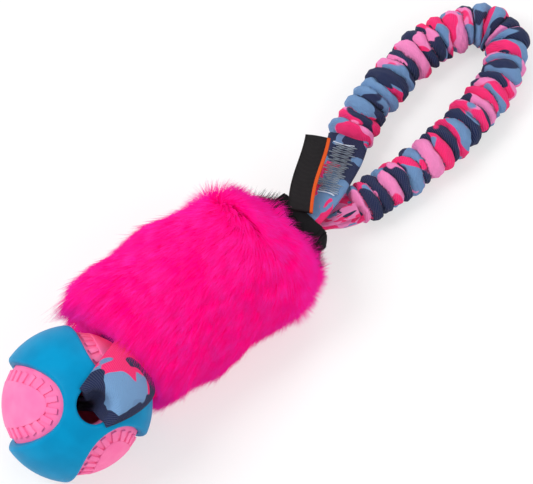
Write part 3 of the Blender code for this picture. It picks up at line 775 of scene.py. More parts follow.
@dataclass
class Ball:
    """The windowed rubber shell and the pink ball inside it, turned on the strap hole's axis."""

    radius: float = 0.038
    shell_wall: float = 0.0042
    gap: float = 0.00035
    bore_radius: float = 0.0092
    bore_lip: float = 0.0015
    roll: float = math.radians(-2.8)
    window_count: int = 3
    half_length: float = math.radians(65.5)
    half_width: float = math.radians(33.5)
    squareness: float = 2.2
    window_lip: float = 0.0023
    cavity_radius: float = 0.025
    pad_inset: float = math.radians(14.0)
    pad_rise: float = 0.0012
    pad_edge: float = 0.0005
    pad_edge_steps: int = 4
    tooth_count: int = 28
    tooth_rise: float = 0.0009
    tooth_end_inset: float = math.radians(4.6)
    tooth_share: float = 0.5
    tooth_bevel: float = 0.00028
    flare_end: float = math.radians(78.0)
    flare_steps: int = 8
    overrun: float = 0.004
    shell_smoothing: float = math.radians(32.0)
    pad_smoothing: float = math.radians(38.0)
    segments: int = 168
    window_segments: int = 112
    window_cells: int = 8
    pad_cells: int = 12
    pad_base_cells: int = 4
    oval_samples: int = 721
    bar_gap: float = math.radians(0.5)
    placement: Matrix = field(init=False)

    def __post_init__(self) -> None:
        """Reads the ball's place and axis from its joint."""
        axis = Vector(joint("ball_turn")["axis"])
        heading = Matrix.Rotation(math.atan2(axis.y, axis.x), 4, "Z")
        tilt = Matrix.Rotation(math.acos(axis.z), 4, "Y")
        self.placement = Matrix.Translation(pivot("ball_turn")) @ heading @ tilt

    @property
    def core_radius(self) -> float:
        """Radius of the pink ball between its raised pads."""
        return self.radius - self.shell_wall - self.gap

    def direction(self, window: int, length: float, width: float, turn: float) -> Vector:
        """Finds a direction on an oval round a window's middle.

        Args:
            window: the window's number.
            length: the oval's half length, as an angle along the strap hole's axis.
            width: the oval's half width, as an angle round that axis.
            turn: the place on the oval, from its upper end.

        Returns:
            The unit direction in the ball's frame.
        """
        up, side = math.cos(turn), math.sin(turn)
        rise = length * math.copysign(abs(up) ** (2.0 / self.squareness), up)
        swing = width * math.copysign(abs(side) ** (2.0 / self.squareness), side)
        spin = Matrix.Rotation(self.roll + 2.0 * math.pi * window / self.window_count, 3, "Z")
        flat = math.cos(swing)
        return spin @ Vector((flat * math.cos(rise), math.sin(swing), flat * math.sin(rise)))

    def sphere(self, name: str, radius: float) -> Object:
        """Adds a round ball of the given radius at the origin."""
        return primitive(name, bpy.ops.mesh.primitive_uv_sphere_add, segments=self.segments,
                         ring_count=self.segments // 2, radius=radius)

    def oval_block(self, name: str, window: int, rows: list[tuple[float, float, float]]) -> Object:
        """Shapes a ball's rings into a block that fills an oval of a window.

        Args:
            name: the block's name.
            window: the window's number.
            rows: half length, half width and radius of each ring, from the top's middle to the base's.

        Returns:
            The block.
        """
        made = primitive(name, bpy.ops.mesh.primitive_uv_sphere_add, segments=self.window_segments,
                         ring_count=len(rows) - 1, radius=1.0)
        for vertex in made.data.vertices:
            row = round(math.acos(max(-1.0, min(1.0, vertex.co.z))) / math.pi * (len(rows) - 1))
            length, width, radius = rows[row]
            turn = math.atan2(vertex.co.y, vertex.co.x)
            vertex.co = self.direction(window, length, width, turn) * radius
        mend(made.data)
        return made

    def patch(self, length: float, width: float, radius: float,
              cells: int) -> list[tuple[float, float, float]]:
        """Lists rings of one radius from the middle of an oval out to its edge."""
        return [(length * k / cells, width * k / cells, radius) for k in range(cells + 1)]

    def joined(self, name: str, parts: list[Object]) -> Object:
        """Joins parts into one object without cutting them.

        Args:
            name: the whole's name.
            parts: the parts, of which the first one stays.

        Returns:
            The whole.
        """
        pick(*parts)
        bpy.ops.object.join()
        return named(name)

    def cut(self, thing: Object, *tools: Object) -> None:
        """Cuts an object with others, which are then removed.

        Args:
            thing: the object that is cut.
            tools: the cutters.
        """
        for tool in tools:
            step = thing.modifiers.new(tool.name, "BOOLEAN")
            step.operation = "DIFFERENCE"
            step.solver = "EXACT"
            step.object = tool
        finished(thing)
        for tool in tools:
            bpy.data.objects.remove(tool, do_unlink=True)

    def windows(self) -> Object:
        """Makes the cutter of the three windows, flared so that it leaves a rounded lip.

        Returns:
            The cutter.
        """
        base = self.core_radius - self.overrun / 2
        end = self.flare_end
        flare = []
        for t in np.linspace(0.0, end, self.flare_steps):
            shift = self.window_lip / self.radius * (1.0 - math.cos(t))
            flare.append((shift, self.radius - self.window_lip * (1.0 - math.sin(t))))
        last = (flare[-1][0] + self.overrun * math.sin(end) / self.radius,
                flare[-1][1] + self.overrun * math.cos(end))
        length, width = self.half_length, self.half_width
        rows = self.patch(length + last[0], width + last[0], last[1] + self.gap, self.window_cells)
        rows += [(length + shift, width + shift, radius) for shift, radius in [last, *flare[::-1]]]
        rows += self.patch(length, width, base, self.window_cells)[::-1]
        blocks = [self.oval_block("window", k, rows) for k in range(self.window_count)]
        return self.joined("window_cutter", blocks)

    def bore(self, name: str) -> Object:
        """Makes the cutter of the strap hole from a cylinder, flared at both ends.

        Args:
            name: the cutter's name.

        Returns:
            The cutter.
        """
        lip = self.bore_lip
        centre = math.sqrt((self.radius - lip) ** 2 - (self.bore_radius + lip) ** 2)
        end = math.pi / 2 + math.asin((self.bore_radius + lip) / (self.radius - lip))
        rim = [(self.bore_radius + lip * (1.0 - math.cos(t)), centre + lip * math.sin(t))
               for t in np.linspace(0.0, end, self.flare_steps)]
        rim.append((rim[-1][0] + self.overrun * math.sin(end), rim[-1][1] + self.overrun * math.cos(end)))
        rim.append((rim[-1][0], self.radius + self.overrun))
        rows = [(radius, -height) for radius, height in rim[::-1]] + rim
        made = primitive(name, bpy.ops.mesh.primitive_grid_add, x_subdivisions=self.window_segments,
                         y_subdivisions=len(rows) - 1, size=2.0)
        for vertex in made.data.vertices:
            radius, height = rows[round((vertex.co.y + 1.0) / 2 * (len(rows) - 1))]
            turn = math.pi * (vertex.co.x + 1.0)
            vertex.co = (radius * math.cos(turn), radius * math.sin(turn), height)
        mend(made.data, merge=True, close=True)
        return made

    def build_shell(self, finish: Material) -> None:
        """Builds the blue shell with its three windows and its strap hole.

        Args:
            finish: its material.
        """
        shell = self.sphere("shell", self.radius)
        hollow = self.sphere("shell_hollow", self.radius - self.shell_wall)
        self.cut(shell, hollow, self.windows(), self.bore("shell_bore"))
        pick(shell)
        bpy.ops.object.shade_smooth_by_angle(angle=self.shell_smoothing)
        finished(shell, self.placement)
        dress(shell, finish, "blue_rubber", Body.BALL, "ball_shell")

    def pad(self, window: int) -> Object:
        """Makes one raised oval pad with a rounded edge, sunk into the pink ball.

        Args:
            window: the window's number.

        Returns:
            The pad.
        """
        length, width = self.half_length - self.pad_inset, self.half_width - self.pad_inset
        top = self.core_radius + self.pad_rise
        soft = self.pad_edge / top
        rows = self.patch(length - soft, width - soft, top, self.pad_cells)
        for t in np.linspace(0.25, 1.0, self.pad_edge_steps) * math.pi / 2:
            out = soft * (1.0 - math.sin(t))
            rows.append((length - out, width - out, top - self.pad_edge * (1.0 - math.cos(t))))
        rows += self.patch(length, width, self.core_radius - self.overrun / 2, self.pad_base_cells)[::-1]
        return self.oval_block("pad", window, rows)

    def tooth_turns(self) -> list[float]:
        """Spreads the teeth evenly along the ring's middle.

        Returns:
            The place of each tooth on the oval, as an angle.
        """
        fine = np.linspace(0.0, 2.0 * math.pi, self.oval_samples)
        inset = (self.pad_inset + self.tooth_end_inset) / 2
        length, width = self.half_length - inset, self.half_width - inset
        reach = run_length(np.array([self.direction(0, length, width, t) for t in fine]))
        wanted = (np.arange(self.tooth_count) + 0.5) / self.tooth_count * reach[-1]
        return list(np.interp(wanted, reach, fine))

    def teeth(self) -> list[Object]:
        """Makes the raised bars on the ring round each pad.

        Returns:
            The teeth of all windows.
        """
        turns = self.tooth_turns()
        near_inset, far_inset = self.pad_inset + self.bar_gap, self.tooth_end_inset
        bars = []
        for window in range(self.window_count):
            for turn in turns:
                near, far = (self.direction(window, self.half_length - inset, self.half_width - inset, turn)
                             for inset in (near_inset, far_inset))
                out = (near + far).normalized()
                along = (far - near).normalized()
                side = out.cross(along)
                length = (far - near).length * self.core_radius
                bar = primitive("tooth", bpy.ops.mesh.primitive_cube_add, size=1.0)
                bar.scale = (length, self.tooth_width(), 2.0 * self.tooth_rise)
                bpy.ops.object.transform_apply(location=False, rotation=False, scale=True)
                bevel = bar.modifiers.new("soft", "BEVEL")
                bevel.width = self.tooth_bevel
                bevel.segments = 2
                finished(bar)
                place = Matrix((along, side, out)).transposed().to_4x4()
                bar.data.transform(Matrix.Translation(out * self.core_radius) @ place)
                bars.append(bar)
        return bars

    def tooth_width(self) -> float:
        """Finds the width of a tooth from the pitch round the ring.

        Returns:
            The width in metres.
        """
        length, width = self.half_length - self.pad_inset / 2, self.half_width - self.pad_inset / 2
        around = math.pi * (3 * (length + width) - math.sqrt((3 * length + width) * (length + 3 * width)))
        return self.core_radius * around / self.tooth_count * self.tooth_share

    def build_inner(self, finish: Material) -> None:
        """Builds the pink ball with its three toothed pads.

        Args:
            finish: its material.
        """
        core = self.sphere("pink_core", self.core_radius)
        self.cut(core, self.sphere("core_hollow", self.cavity_radius), self.bore("core_bore"))
        pads = [self.pad(window) for window in range(self.window_count)]
        whole = self.joined("toothed_pads", [core, *pads, *self.teeth()])
        bpy.ops.object.shade_smooth_by_angle(angle=self.pad_smoothing)
        finished(whole, self.placement)
        dress(whole, finish, "pink_rubber", Body.BALL, "inner_ball")


@dataclass
class BallStrap:
    """The printed webbing that is threaded through the ball and runs into the fur."""

    ball: Ball
    width: float = 0.030
    thickness: float = 0.002
    edge_share: float = 0.25
    edge_slope: float = 14.0
    pleat_curl: float = math.radians(204.0)
    bunch_share: float = 0.62
    bunch_depth: float = 0.009
    slack_angle: float = math.radians(30.0)
    bend_share: float = 0.45
    join_width: float = 0.024
    join_overlap: float = 0.022
    slot_side: float = 0.00178
    cells: int = 28
    hole_steps: int = 18
    lip_steps: int = 16
    wrap_steps: int = 24
    free_steps: int = 20
    sleeve_steps: int = 8
    seam_inset: float = 0.00185
    back_face_shift: float = 0.004
    bend_inside: float = 0.020
    bend_outside: float = 0.006

    def ring(self, fibres: list[Fibre], shares: np.ndarray) -> list[Vector]:
        """Outlines a section with thin rounded edges.

        Args:
            fibres: the middle point and the outward side of each fibre.
            shares: each fibre's place across the width.

        Returns:
            The outline's points.
        """
        taper = [min(1.0, self.edge_share + self.edge_slope * (0.5 - abs(u))) ** 0.5 for u in shares]
        tops = [m + o * (self.thickness / 2 * k) for (m, o), k in zip(fibres, taper)]
        lows = [m - o * (self.thickness / 2 * k) for (m, o), k in zip(fibres, taper)]
        return tops + lows[::-1]

    def flat_fibres(self, centre: Vector, across: Vector, out: Vector, width: float, curl: float,
                    shares: np.ndarray) -> list[Fibre]:
        """Places the fibres of a section that lies flat or curls over the ball.

        Args:
            centre: the section's middle.
            across: the way across the webbing.
            out: the way out of its face.
            width: the webbing's width.
            curl: the angle that it curls over, or 0.
            shares: each fibre's place across the width.

        Returns:
            The middle point and the outward side of each fibre.
        """
        made = []
        for u in shares:
            along, turn = u * width, u * curl
            side = math.sin(turn) * width / curl if curl else along
            lift = (1.0 - math.cos(turn)) * width / curl if curl else 0.0
            made.append((centre + across * side + out * lift, out * math.cos(turn) - across * math.sin(turn)))
        return made

    def on_ball(self, pole: Vector, toward: Vector, across: Vector, leave: float,
                shares: np.ndarray) -> list[list[Fibre]]:
        """Places the fibres from the ball's middle, over the rim, to where the webbing leaves the shell.

        Args:
            pole: the way out of the strap hole.
            toward: the way to the fur.
            across: the way across the webbing.
            leave: the angle from the pole where the webbing leaves the shell.
            shares: each fibre's place across the width.

        Returns:
            The sections in the ball's frame.
        """
        ball = self.ball
        half = ball.gap + self.thickness / 2
        offset = ball.bore_radius - half
        bend = ball.bore_lip + half
        reach = math.sqrt((ball.radius - ball.bore_lip) ** 2 - (offset + bend) ** 2)
        touch = math.asin((offset + bend) / (ball.radius - ball.bore_lip))
        over = ball.radius + half
        spokes = []
        for u in shares:
            turn = u * self.pleat_curl
            spokes.append(toward * math.cos(turn) + across * math.sin(turn))
        sections = []
        for depth in np.linspace(1.0, 0.0, self.hole_steps)[:-1] * reach:
            bunch = 1.0 - self.bunch_share * smoothstep(0.0, self.bunch_depth, np.array(depth))
            sections.append([(pole * (reach - depth) + s * offset * float(bunch), -s) for s in spokes])
        for k in range(self.lip_steps + 1):
            turn = (math.pi / 2 + touch) * k / self.lip_steps
            outs = [pole * math.sin(turn) - s * math.cos(turn) for s in spokes]
            rim = [pole * reach + s * (offset + bend) for s in spokes]
            sections.append([(r + o * bend, o) for r, o in zip(rim, outs)])
        last = pole * math.cos(leave) + toward * math.sin(leave)
        for k in range(1, self.wrap_steps + 1):
            section = []
            for s, u in zip(spokes, shares):
                near = pole * math.cos(touch) + s * math.sin(touch)
                lean = u * self.width / over
                far = last * math.cos(lean) + across * math.sin(lean)
                out = near.slerp(far, k / self.wrap_steps)
                section.append((out * over, out))
            sections.append(section)
        return sections

    def half(self, sign: float, shares: np.ndarray) -> list[list[Fibre]]:
        """Places the fibres of one half of the strap, from the ball's middle to the sewn end.

        Args:
            sign: 1 for the upper half and -1 for the lower one.
            shares: each fibre's place across the width.

        Returns:
            The sections in world space.
        """
        centre = pivot("ball_turn")
        pole = Vector(joint("ball_turn")["axis"]).normalized()
        hem = pivot("handle_fold")
        start_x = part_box("fur_filling")[0][0]
        tape_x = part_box("binding_tape")[0][0]
        slot = Vector((start_x, self.slot_side, hem.z)) - centre
        toward = (slot - pole * slot.dot(pole)).normalized()
        across = pole.cross(toward)
        pole = pole * sign
        rise = Z_AXIS * sign * (self.thickness + self.ball.gap) / 2
        slot = slot + rise
        over = self.ball.radius + self.ball.gap + self.thickness / 2
        leave = pole.angle(slot) - math.acos(over / slot.length) + self.slack_angle
        sections = self.on_ball(pole, toward, across, leave, shares)
        start = (pole * math.cos(leave) + toward * math.sin(leave)) * over
        slope = toward * math.cos(leave) - pole * math.sin(leave)
        run = (slot - start).length * self.bend_share
        side = 1 if sign > 0 else -1
        for k in range(1, self.free_steps + 1):
            t = k / self.free_steps
            point, tangent = curve_point(start, start + slope * run, slot - X_AXIS * run, slot, t)
            flat = across.lerp(Y_AXIS, t)
            flat = (flat - tangent * flat.dot(tangent)).normalized()
            curl = -self.width / over * (1 - t)
            out = tangent.cross(flat) * side
            sections.append(self.flat_fibres(point, flat, out, self.width, curl, shares))
        middle = Vector((tape_x - self.join_overlap / 2, hem.y, hem.z)) + rise - centre
        end = Vector((hem.x - self.seam_inset, hem.y, hem.z)) + rise - centre
        run = (middle - slot).length
        for k in range(1, self.sleeve_steps + 1):
            t = k / self.sleeve_steps
            point, tangent = curve_point(slot, slot + X_AXIS * run / 2, middle - X_AXIS * run / 4, middle, t)
            narrowing = (point.x - slot.x) / (middle.x - slot.x)
            width = self.width + (self.join_width - self.width) * narrowing
            out = tangent.cross(Y_AXIS) * side
            sections.append(self.flat_fibres(point, Y_AXIS, out, width, 0.0, shares))
        sections.append(self.flat_fibres(end, Y_AXIS, Z_AXIS * side, self.join_width, 0.0, shares))
        return [[(m + centre, o) for m, o in section] for section in sections]

    def build(self, finish: Material) -> None:
        """Builds the webbing in one length, with its cloth coordinates.

        Args:
            finish: its material.
        """
        shares = np.linspace(-0.5, 0.5, self.cells + 1)
        sections = self.half(1.0, shares)[::-1] + self.half(-1.0, shares)[1:]
        rings = [self.ring(section, shares) for section in sections]
        points = np.array([[tuple(p) for p in ring] for ring in rings])
        points[..., 2] = np.maximum(points[..., 2], 0.0)
        reach = run_length(np.array([tuple(section[self.cells // 2][0]) for section in sections]))
        reach -= reach[len(rings) // 2]
        made = tube("ball_webbing", points)
        side = np.concatenate([shares, shares[::-1]]) * self.width
        lift = np.repeat([0.0, self.back_face_shift], self.cells + 1)
        paint_cloth(made, side, lift, reach[:, None])
        mouth = pivot("ball_swing").x
        bend = Bend(Body.FUR, Body.STRAP, mouth + self.bend_inside, mouth - self.bend_outside)
        dress(made, finish, "strap_webbing", bend, "ball_strap")


def curve_point(a: Vector, b: Vector, c: Vector, d: Vector, t: float) -> tuple[Vector, Vector]:
    """Reads a cubic curve.

    Args:
        a: the start.
        b: the start's handle.
        c: the end's handle.
        d: the end.
        t: the share of the way along.

    Returns:
        The point and the unit direction there.
    """
    s = 1.0 - t
    point = a * s**3 + b * 3 * s * s * t + c * 3 * s * t * t + d * t**3
    slope = (b - a) * s * s + (c - b) * 2 * s * t + (d - c) * t * t
    return point, slope.normalized()


@dataclass(frozen=True)
class Hairs:
    """How a group of hairs stands: outwards, scattered and along X."""

    lengths: tuple[float, float]
    outward: float
    scatter: float
    along: float

    def ends(self, roots: np.ndarray, outs: np.ndarray, random: np.random.Generator) -> np.ndarray:
        """Finds where the hairs end.

        Args:
            roots: the hairs' roots.
            outs: the direction out at each root.
            random: the source of chance.

        Returns:
            The hairs' ends.
        """
        scatter = random.normal(0.0, self.scatter, outs.shape)
        ways = unit(outs * self.outward + scatter + [self.along, 0.0, 0.0])
        return roots + ways * random.uniform(*self.lengths, (len(ways), 1))


@dataclass
class FurSleeve:
    """The pile fabric tube, its strands, its wadding and the bound end."""

    seed: int = 7
    strands: int = 150000
    batches: int = 9
    pile: float = 0.0128
    pile_lengths: tuple[float, float] = (0.85, 1.1)
    flow_sag: tuple[float, float] = (0.12, 0.30)
    flow_pull: tuple[float, float] = (0.9, 0.3)
    flow_scatter: float = 0.16
    lean_scatter: float = 0.13
    pile_spread_share: float = 0.15
    strand_radius: float = 0.00015
    lean: float = math.radians(73.0)
    curl_share: float = 0.28
    bulge: float = 0.0011
    rim_lean: float = math.radians(50.0)
    rim_reach: float = 0.013
    rim_length_share: float = 1.05
    drape_lean: float = math.radians(79.0)
    rim_crowding: float = 7.0
    hem_reach: float = 0.026
    hem_length_share: float = -0.06
    ball_reach: float = 0.0406
    tuft_count: int = 2600
    tuft_pull_share: float = 0.32
    tuft_scatter: float = 0.0016
    bend_share: float = 0.52
    bend_width_share: float = 0.8
    ball_flow_x: float = 0.022
    handle_flow_x: float = 0.060
    floor_gap: float = 0.00025
    flat_rest: float = 0.0012
    stations: int = 24
    station_reach: float = 0.012
    edge_margin: float = 0.0005
    outer_reach: float = 0.006
    tape_rows: int = 15
    tape_columns: int = 96
    tape_wall: float = 0.0013
    tape_edge: float = 0.00035
    tape_pucker: float = 0.0003
    tape_puckers: float = 15.0
    tape_roundness: float = 0.25
    fringe_hairs: int = 420
    fringe_reach: float = 0.011
    fringe_share: float = 0.24
    fringe_roots: tuple[float, float] = (0.0015, 0.0070)
    loose_hairs: Hairs = Hairs((0.007, 0.0135), 0.8, 0.22, -0.60)
    pile_hairs: Hairs = Hairs((0.007, 0.012), 0.62, 0.16, 0.75)
    fringe_sink: tuple[float, float] = (0.96, 0.94)

    def cad_copy(self, node: str, name: str) -> Object:
        """Copies a CAD node's mesh with its loose triangles merged.

        Args:
            node: the CAD node.
            name: the copy's name.

        Returns:
            The copy.
        """
        mesh = frame["nodes"][node].data.copy()
        mesh.name = name
        mend(mesh, merge=True, turn=False)
        mesh.shade_smooth()
        return placed(name, mesh)

    def build_backing(self, finish: Material) -> Object:
        """Builds the knitted backing that the pile grows from.

        Args:
            finish: its material.

        Returns:
            The backing.
        """
        made = self.cad_copy("fur_sleeve", "fur_backing")
        dress(made, finish, "magenta_fur", Body.FUR, "fur_sleeve")
        return made

    def outer_faces(self, mesh: Mesh) -> tuple[np.ndarray, np.ndarray, np.ndarray]:
        """Finds the faces that carry pile.

        Args:
            mesh: the backing's mesh.

        Returns:
            The triangles' corners, their normals and their areas.
        """
        mesh.calc_loop_triangles()
        points = np.array([v.co for v in mesh.vertices])
        corners = points[np.array([t.vertices for t in mesh.loop_triangles])]
        normals = np.cross(corners[:, 1] - corners[:, 0], corners[:, 2] - corners[:, 0])
        areas = np.linalg.norm(normals, axis=1) / 2
        normals = normals / (2 * areas[:, None] + 1e-12)
        middles = corners.mean(1)
        stations = np.linspace(points[:, 0].min(), points[:, 0].max(), self.stations)
        centres = []
        for x in stations:
            near = points[np.abs(points[:, 0] - x) < self.station_reach]
            centres.append((near.min(0) + near.max(0)) / 2)
        centres = np.array(centres)
        axis = np.stack([middles[:, 0], np.interp(middles[:, 0], stations, centres[:, 1]),
                         np.interp(middles[:, 0], stations, centres[:, 2])], 1)
        facing = np.einsum("ij,ij->i", middles - axis, normals)
        tape_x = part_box("binding_tape")[0][0]
        mouth = middles[:, 0] < points[:, 0].min() + self.edge_margin
        wanted = ((facing > self.outer_reach) | mouth) & (middles[:, 0] < tape_x - self.edge_margin)
        wanted &= middles[:, 2] > self.flat_rest
        return corners[wanted], normals[wanted], areas[wanted]

    def root_places(self, mesh: Mesh, random: np.random.Generator) -> tuple[np.ndarray, np.ndarray]:
        """Scatters the strands' roots evenly over the backing.

        Args:
            mesh: the backing's mesh.
            random: the source of chance.

        Returns:
            The roots and the backing's direction out at each.
        """
        corners, normals, areas = self.outer_faces(mesh)
        crowd = areas * (1.0 + self.rim_crowding * (normals[:, 0] < -0.9))
        chosen = random.choice(len(areas), self.strands, p=crowd / crowd.sum())
        a, b = random.random((2, self.strands))
        flip = a + b > 1.0
        a[flip], b[flip] = 1.0 - a[flip], 1.0 - b[flip]
        tri = corners[chosen]
        roots = tri[:, 0] + (tri[:, 1] - tri[:, 0]) * a[:, None] + (tri[:, 2] - tri[:, 0]) * b[:, None]
        outs = normals[chosen]
        waves = np.sin(roots @ (95.0, 60.0, -130.0)) + np.sin(roots @ (-170.0, 110.0, 70.0) + 2.0)
        return roots + outs * (self.bulge * waves * (outs[:, 0] > -0.9))[:, None], outs

    def directions(self, roots: np.ndarray, outs: np.ndarray, random: np.random.Generator) -> np.ndarray:
        """Leans each strand along the flow of the pile.

        Args:
            roots: the strands' roots.
            outs: the direction out at each root.
            random: the source of chance.

        Returns:
            The strands' unit directions.
        """
        turn = smoothstep(self.ball_flow_x, self.handle_flow_x, roots[:, 0])
        swirl = 4.0 * turn * (1.0 - turn)
        sag, pull = self.flow_sag, self.flow_pull
        flow = np.stack([2.0 * turn - 1.0, -sag[0] - pull[0] * swirl, -sag[1] - pull[1] * swirl], 1)
        inward = (roots.mean(0) - roots) * [0.0, 1.0, 1.0]
        rim = smoothstep(0.6, 0.95, -outs[:, 0])[:, None]
        flow = flow * (1.0 - rim) + unit(inward) * rim
        flow += random.normal(0.0, self.flow_scatter, flow.shape)
        flow -= outs * np.einsum("ij,ij->i", flow, outs)[:, None]
        size = np.linalg.norm(flow, axis=1, keepdims=True)
        drape = self.drape(roots)
        lean = self.lean + (self.drape_lean - self.lean) * drape
        lean += (self.rim_lean - lean) * rim[:, 0] + random.normal(0.0, self.lean_scatter, len(roots))
        strength = np.clip(size, 0.0, 1.0) / np.maximum(size, 1e-6)
        return unit(outs * np.cos(lean)[:, None] + flow * strength * np.sin(lean)[:, None])

    def drape(self, roots: np.ndarray) -> np.ndarray:
        """Finds how far each strand is one of those that hang from the mouth over the ball.

        Args:
            roots: the strands' roots.

        Returns:
            A share from 0 to 1 for each strand.
        """
        low = roots[:, 0].min()
        spoke = (roots - roots.mean(0)) * [0.0, 1.0, 1.0]
        return smoothstep(low + self.rim_reach, low, roots[:, 0]) * smoothstep(0.15, 0.75, unit(spoke)[:, 2])

    def tufts(self, roots: np.ndarray, ends: np.ndarray, random: np.random.Generator
              ) -> tuple[np.ndarray, np.ndarray]:
        """Draws the ends of neighbouring strands together.

        Args:
            roots: the strands' roots.
            ends: the strands' ends.
            random: the source of chance.

        Returns:
            The ends after the pull, and a number from 0 to 1 for each strand's tuft.
        """
        leaders = random.choice(len(roots), self.tuft_count, replace=False)
        tree = kdtree.KDTree(self.tuft_count)
        for k, leader in enumerate(leaders):
            tree.insert(roots[leader], k)
        tree.balance()
        nearest = np.array([tree.find(root)[1] for root in roots])
        spread = self.pile_spread_share
        length_share = random.uniform(1.0 - spread, 1.0 + spread, self.tuft_count)
        tilt = random.normal(0.0, self.tuft_scatter, (self.tuft_count, 3))
        lead = ends[leaders] + tilt
        pull = self.tuft_pull_share * random.uniform(0.5, 1.0, len(roots))[:, None]
        drawn = ends * (1.0 - pull) + lead[nearest] * pull
        drawn = roots + (drawn - roots) * length_share[nearest][:, None]
        return drawn, random.random(self.tuft_count)[nearest]

    def strand_mesh(self, name: str, roots: np.ndarray, outs: np.ndarray, ends: np.ndarray,
                    tufts: np.ndarray, singles: np.ndarray) -> Object:
        """Makes one batch of strands, each a closed three sided spike that bends over.

        Args:
            name: the batch's name.
            roots: the strands' roots.
            outs: the direction out at each root.
            ends: the strands' ends.
            tufts: each strand's tuft number.
            singles: a number of its own for each strand.

        Returns:
            The mesh object.
        """
        count = len(roots)
        length = np.linalg.norm(ends - roots, axis=1, keepdims=True)
        handles = roots + outs * length * self.curl_share
        steps = (0.0, self.bend_share)
        line = [roots * (1 - t) ** 2 + handles * 2 * t * (1 - t) + ends * t * t for t in steps]
        heading = unit(ends - roots)
        helper = np.where(np.abs(heading[:, 2:3]) < 0.8, [[0.0, 0.0, 1.0]], [[0.0, 1.0, 0.0]])
        side = unit(np.cross(heading, helper))
        other = np.cross(heading, side)
        rings = []
        for middle, width in zip(line, (1.0, self.bend_width_share)):
            for turn in 2.0 * math.pi * np.arange(3) / 3:
                out = side * math.cos(turn) + other * math.sin(turn)
                rings.append(middle + out * self.strand_radius * width)
        points = self.clear_of_ball(np.stack([*rings, ends], 1))
        points[:, :, 2] = np.maximum(points[:, :, 2], self.floor_gap * (0.6 + singles[:, None]))
        faces = [(0, 2, 1)]
        for k in range(3):
            n = (k + 1) % 3
            faces += [(k, n, 3 + n), (k, 3 + n, 3 + k), (3 + k, 3 + n, 6)]
        size = points.shape[1]
        table = np.array(faces)[None] + (np.arange(count) * size)[:, None, None]
        made = from_arrays(name, points.reshape(-1, 3), table.reshape(-1, 3))
        along = np.array([0.0] * 3 + [steps[1]] * 3 + [1.0])
        strand = np.stack([np.tile(along, count), np.repeat(tufts, size), np.repeat(singles, size)], 1)
        paint_vectors(made, "strand", strand)
        return made

    def clear_of_ball(self, points: np.ndarray) -> np.ndarray:
        """Moves points out of the ball, so that the pile at the mouth lies over it.

        Args:
            points: places on the strands.

        Returns:
            The places outside the ball.
        """
        centre = np.array(pivot("ball_turn"))
        away = points - centre
        reach = np.linalg.norm(away, axis=-1, keepdims=True)
        return centre + away * np.maximum(1.0, self.ball_reach / np.maximum(reach, TINY))

    def build_pile(self, backing: Object, finish: Material) -> None:
        """Grows the pile in batches of strands.

        Args:
            backing: the fur's backing.
            finish: the strands' material.
        """
        random = np.random.default_rng(self.seed)
        roots, outs = self.root_places(backing.data, random)
        ways = self.directions(roots, outs, random)
        high = roots[:, 0].max()
        hem = smoothstep(high - self.hem_reach, high, roots[:, 0])
        length = self.pile * random.uniform(*self.pile_lengths, len(roots)) \
            * (1.0 + self.rim_length_share * self.drape(roots) + self.hem_length_share * hem)
        ends, tufts = self.tufts(roots, roots + ways * length[:, None], random)
        singles = random.random(len(roots))
        for k in range(self.batches):
            part = slice(k, None, self.batches)
            made = self.strand_mesh(f"pile_{k + 1}", roots[part], outs[part], ends[part], tufts[part],
                                    singles[part])
            dress(made, finish, "magenta_fur", Body.FUR)

    def build_fringe(self, backing: Object, finish: Material) -> None:
        """Adds the dark hairs that lie in the pile at the tape and stick out from under it.

        Args:
            backing: the fur's backing, which carries some of them.
            finish: their dark finish.
        """
        random = np.random.default_rng(self.seed + 5)
        low, high = (np.array(corner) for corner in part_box("binding_tape"))
        middle, half = (low + high) / 2, (high - low) / 2
        count = self.fringe_hairs
        turns = random.uniform(0.0, 2.0 * math.pi, count)
        side, up = np.cos(turns), np.sin(turns)
        edge = np.maximum(np.abs(side) ** 4 + np.abs(up) ** 4, TINY) ** -0.25
        outs = unit(np.stack([np.zeros(count), side / half[1], up / half[2]], 1))
        roots = np.stack([low[0] + random.uniform(*self.fringe_roots, count),
                          middle[1] + half[1] * side * edge * self.fringe_sink[0],
                          middle[2] + half[2] * up * edge * self.fringe_sink[1]], 1)
        ends = self.loose_hairs.ends(roots, outs, random)
        pile_roots, pile_outs = self.root_places(backing.data, random)
        high_x = pile_roots[:, 0].max()
        hem = smoothstep(high_x - self.fringe_reach, high_x, pile_roots[:, 0])
        near = random.random(len(hem)) < self.fringe_share * hem
        pile_roots, pile_outs = pile_roots[near], pile_outs[near]
        ends = np.concatenate([ends, self.pile_hairs.ends(pile_roots, pile_outs, random)])
        roots, outs = np.concatenate([roots, pile_roots]), np.concatenate([outs, pile_outs])
        count = len(roots)
        made = self.strand_mesh("tape_fringe", roots, outs, ends, random.random(count), random.random(count))
        dress(made, finish, "black_tape", Body.FUR)

    def build_wadding(self, finish: Material) -> None:
        """Builds the fibre filling round the webbing's passage.

        Args:
            finish: its material.
        """
        made = self.cad_copy("fur_filling", "wadding")
        dress(made, finish, "wadding", Body.FUR, "fur_filling")

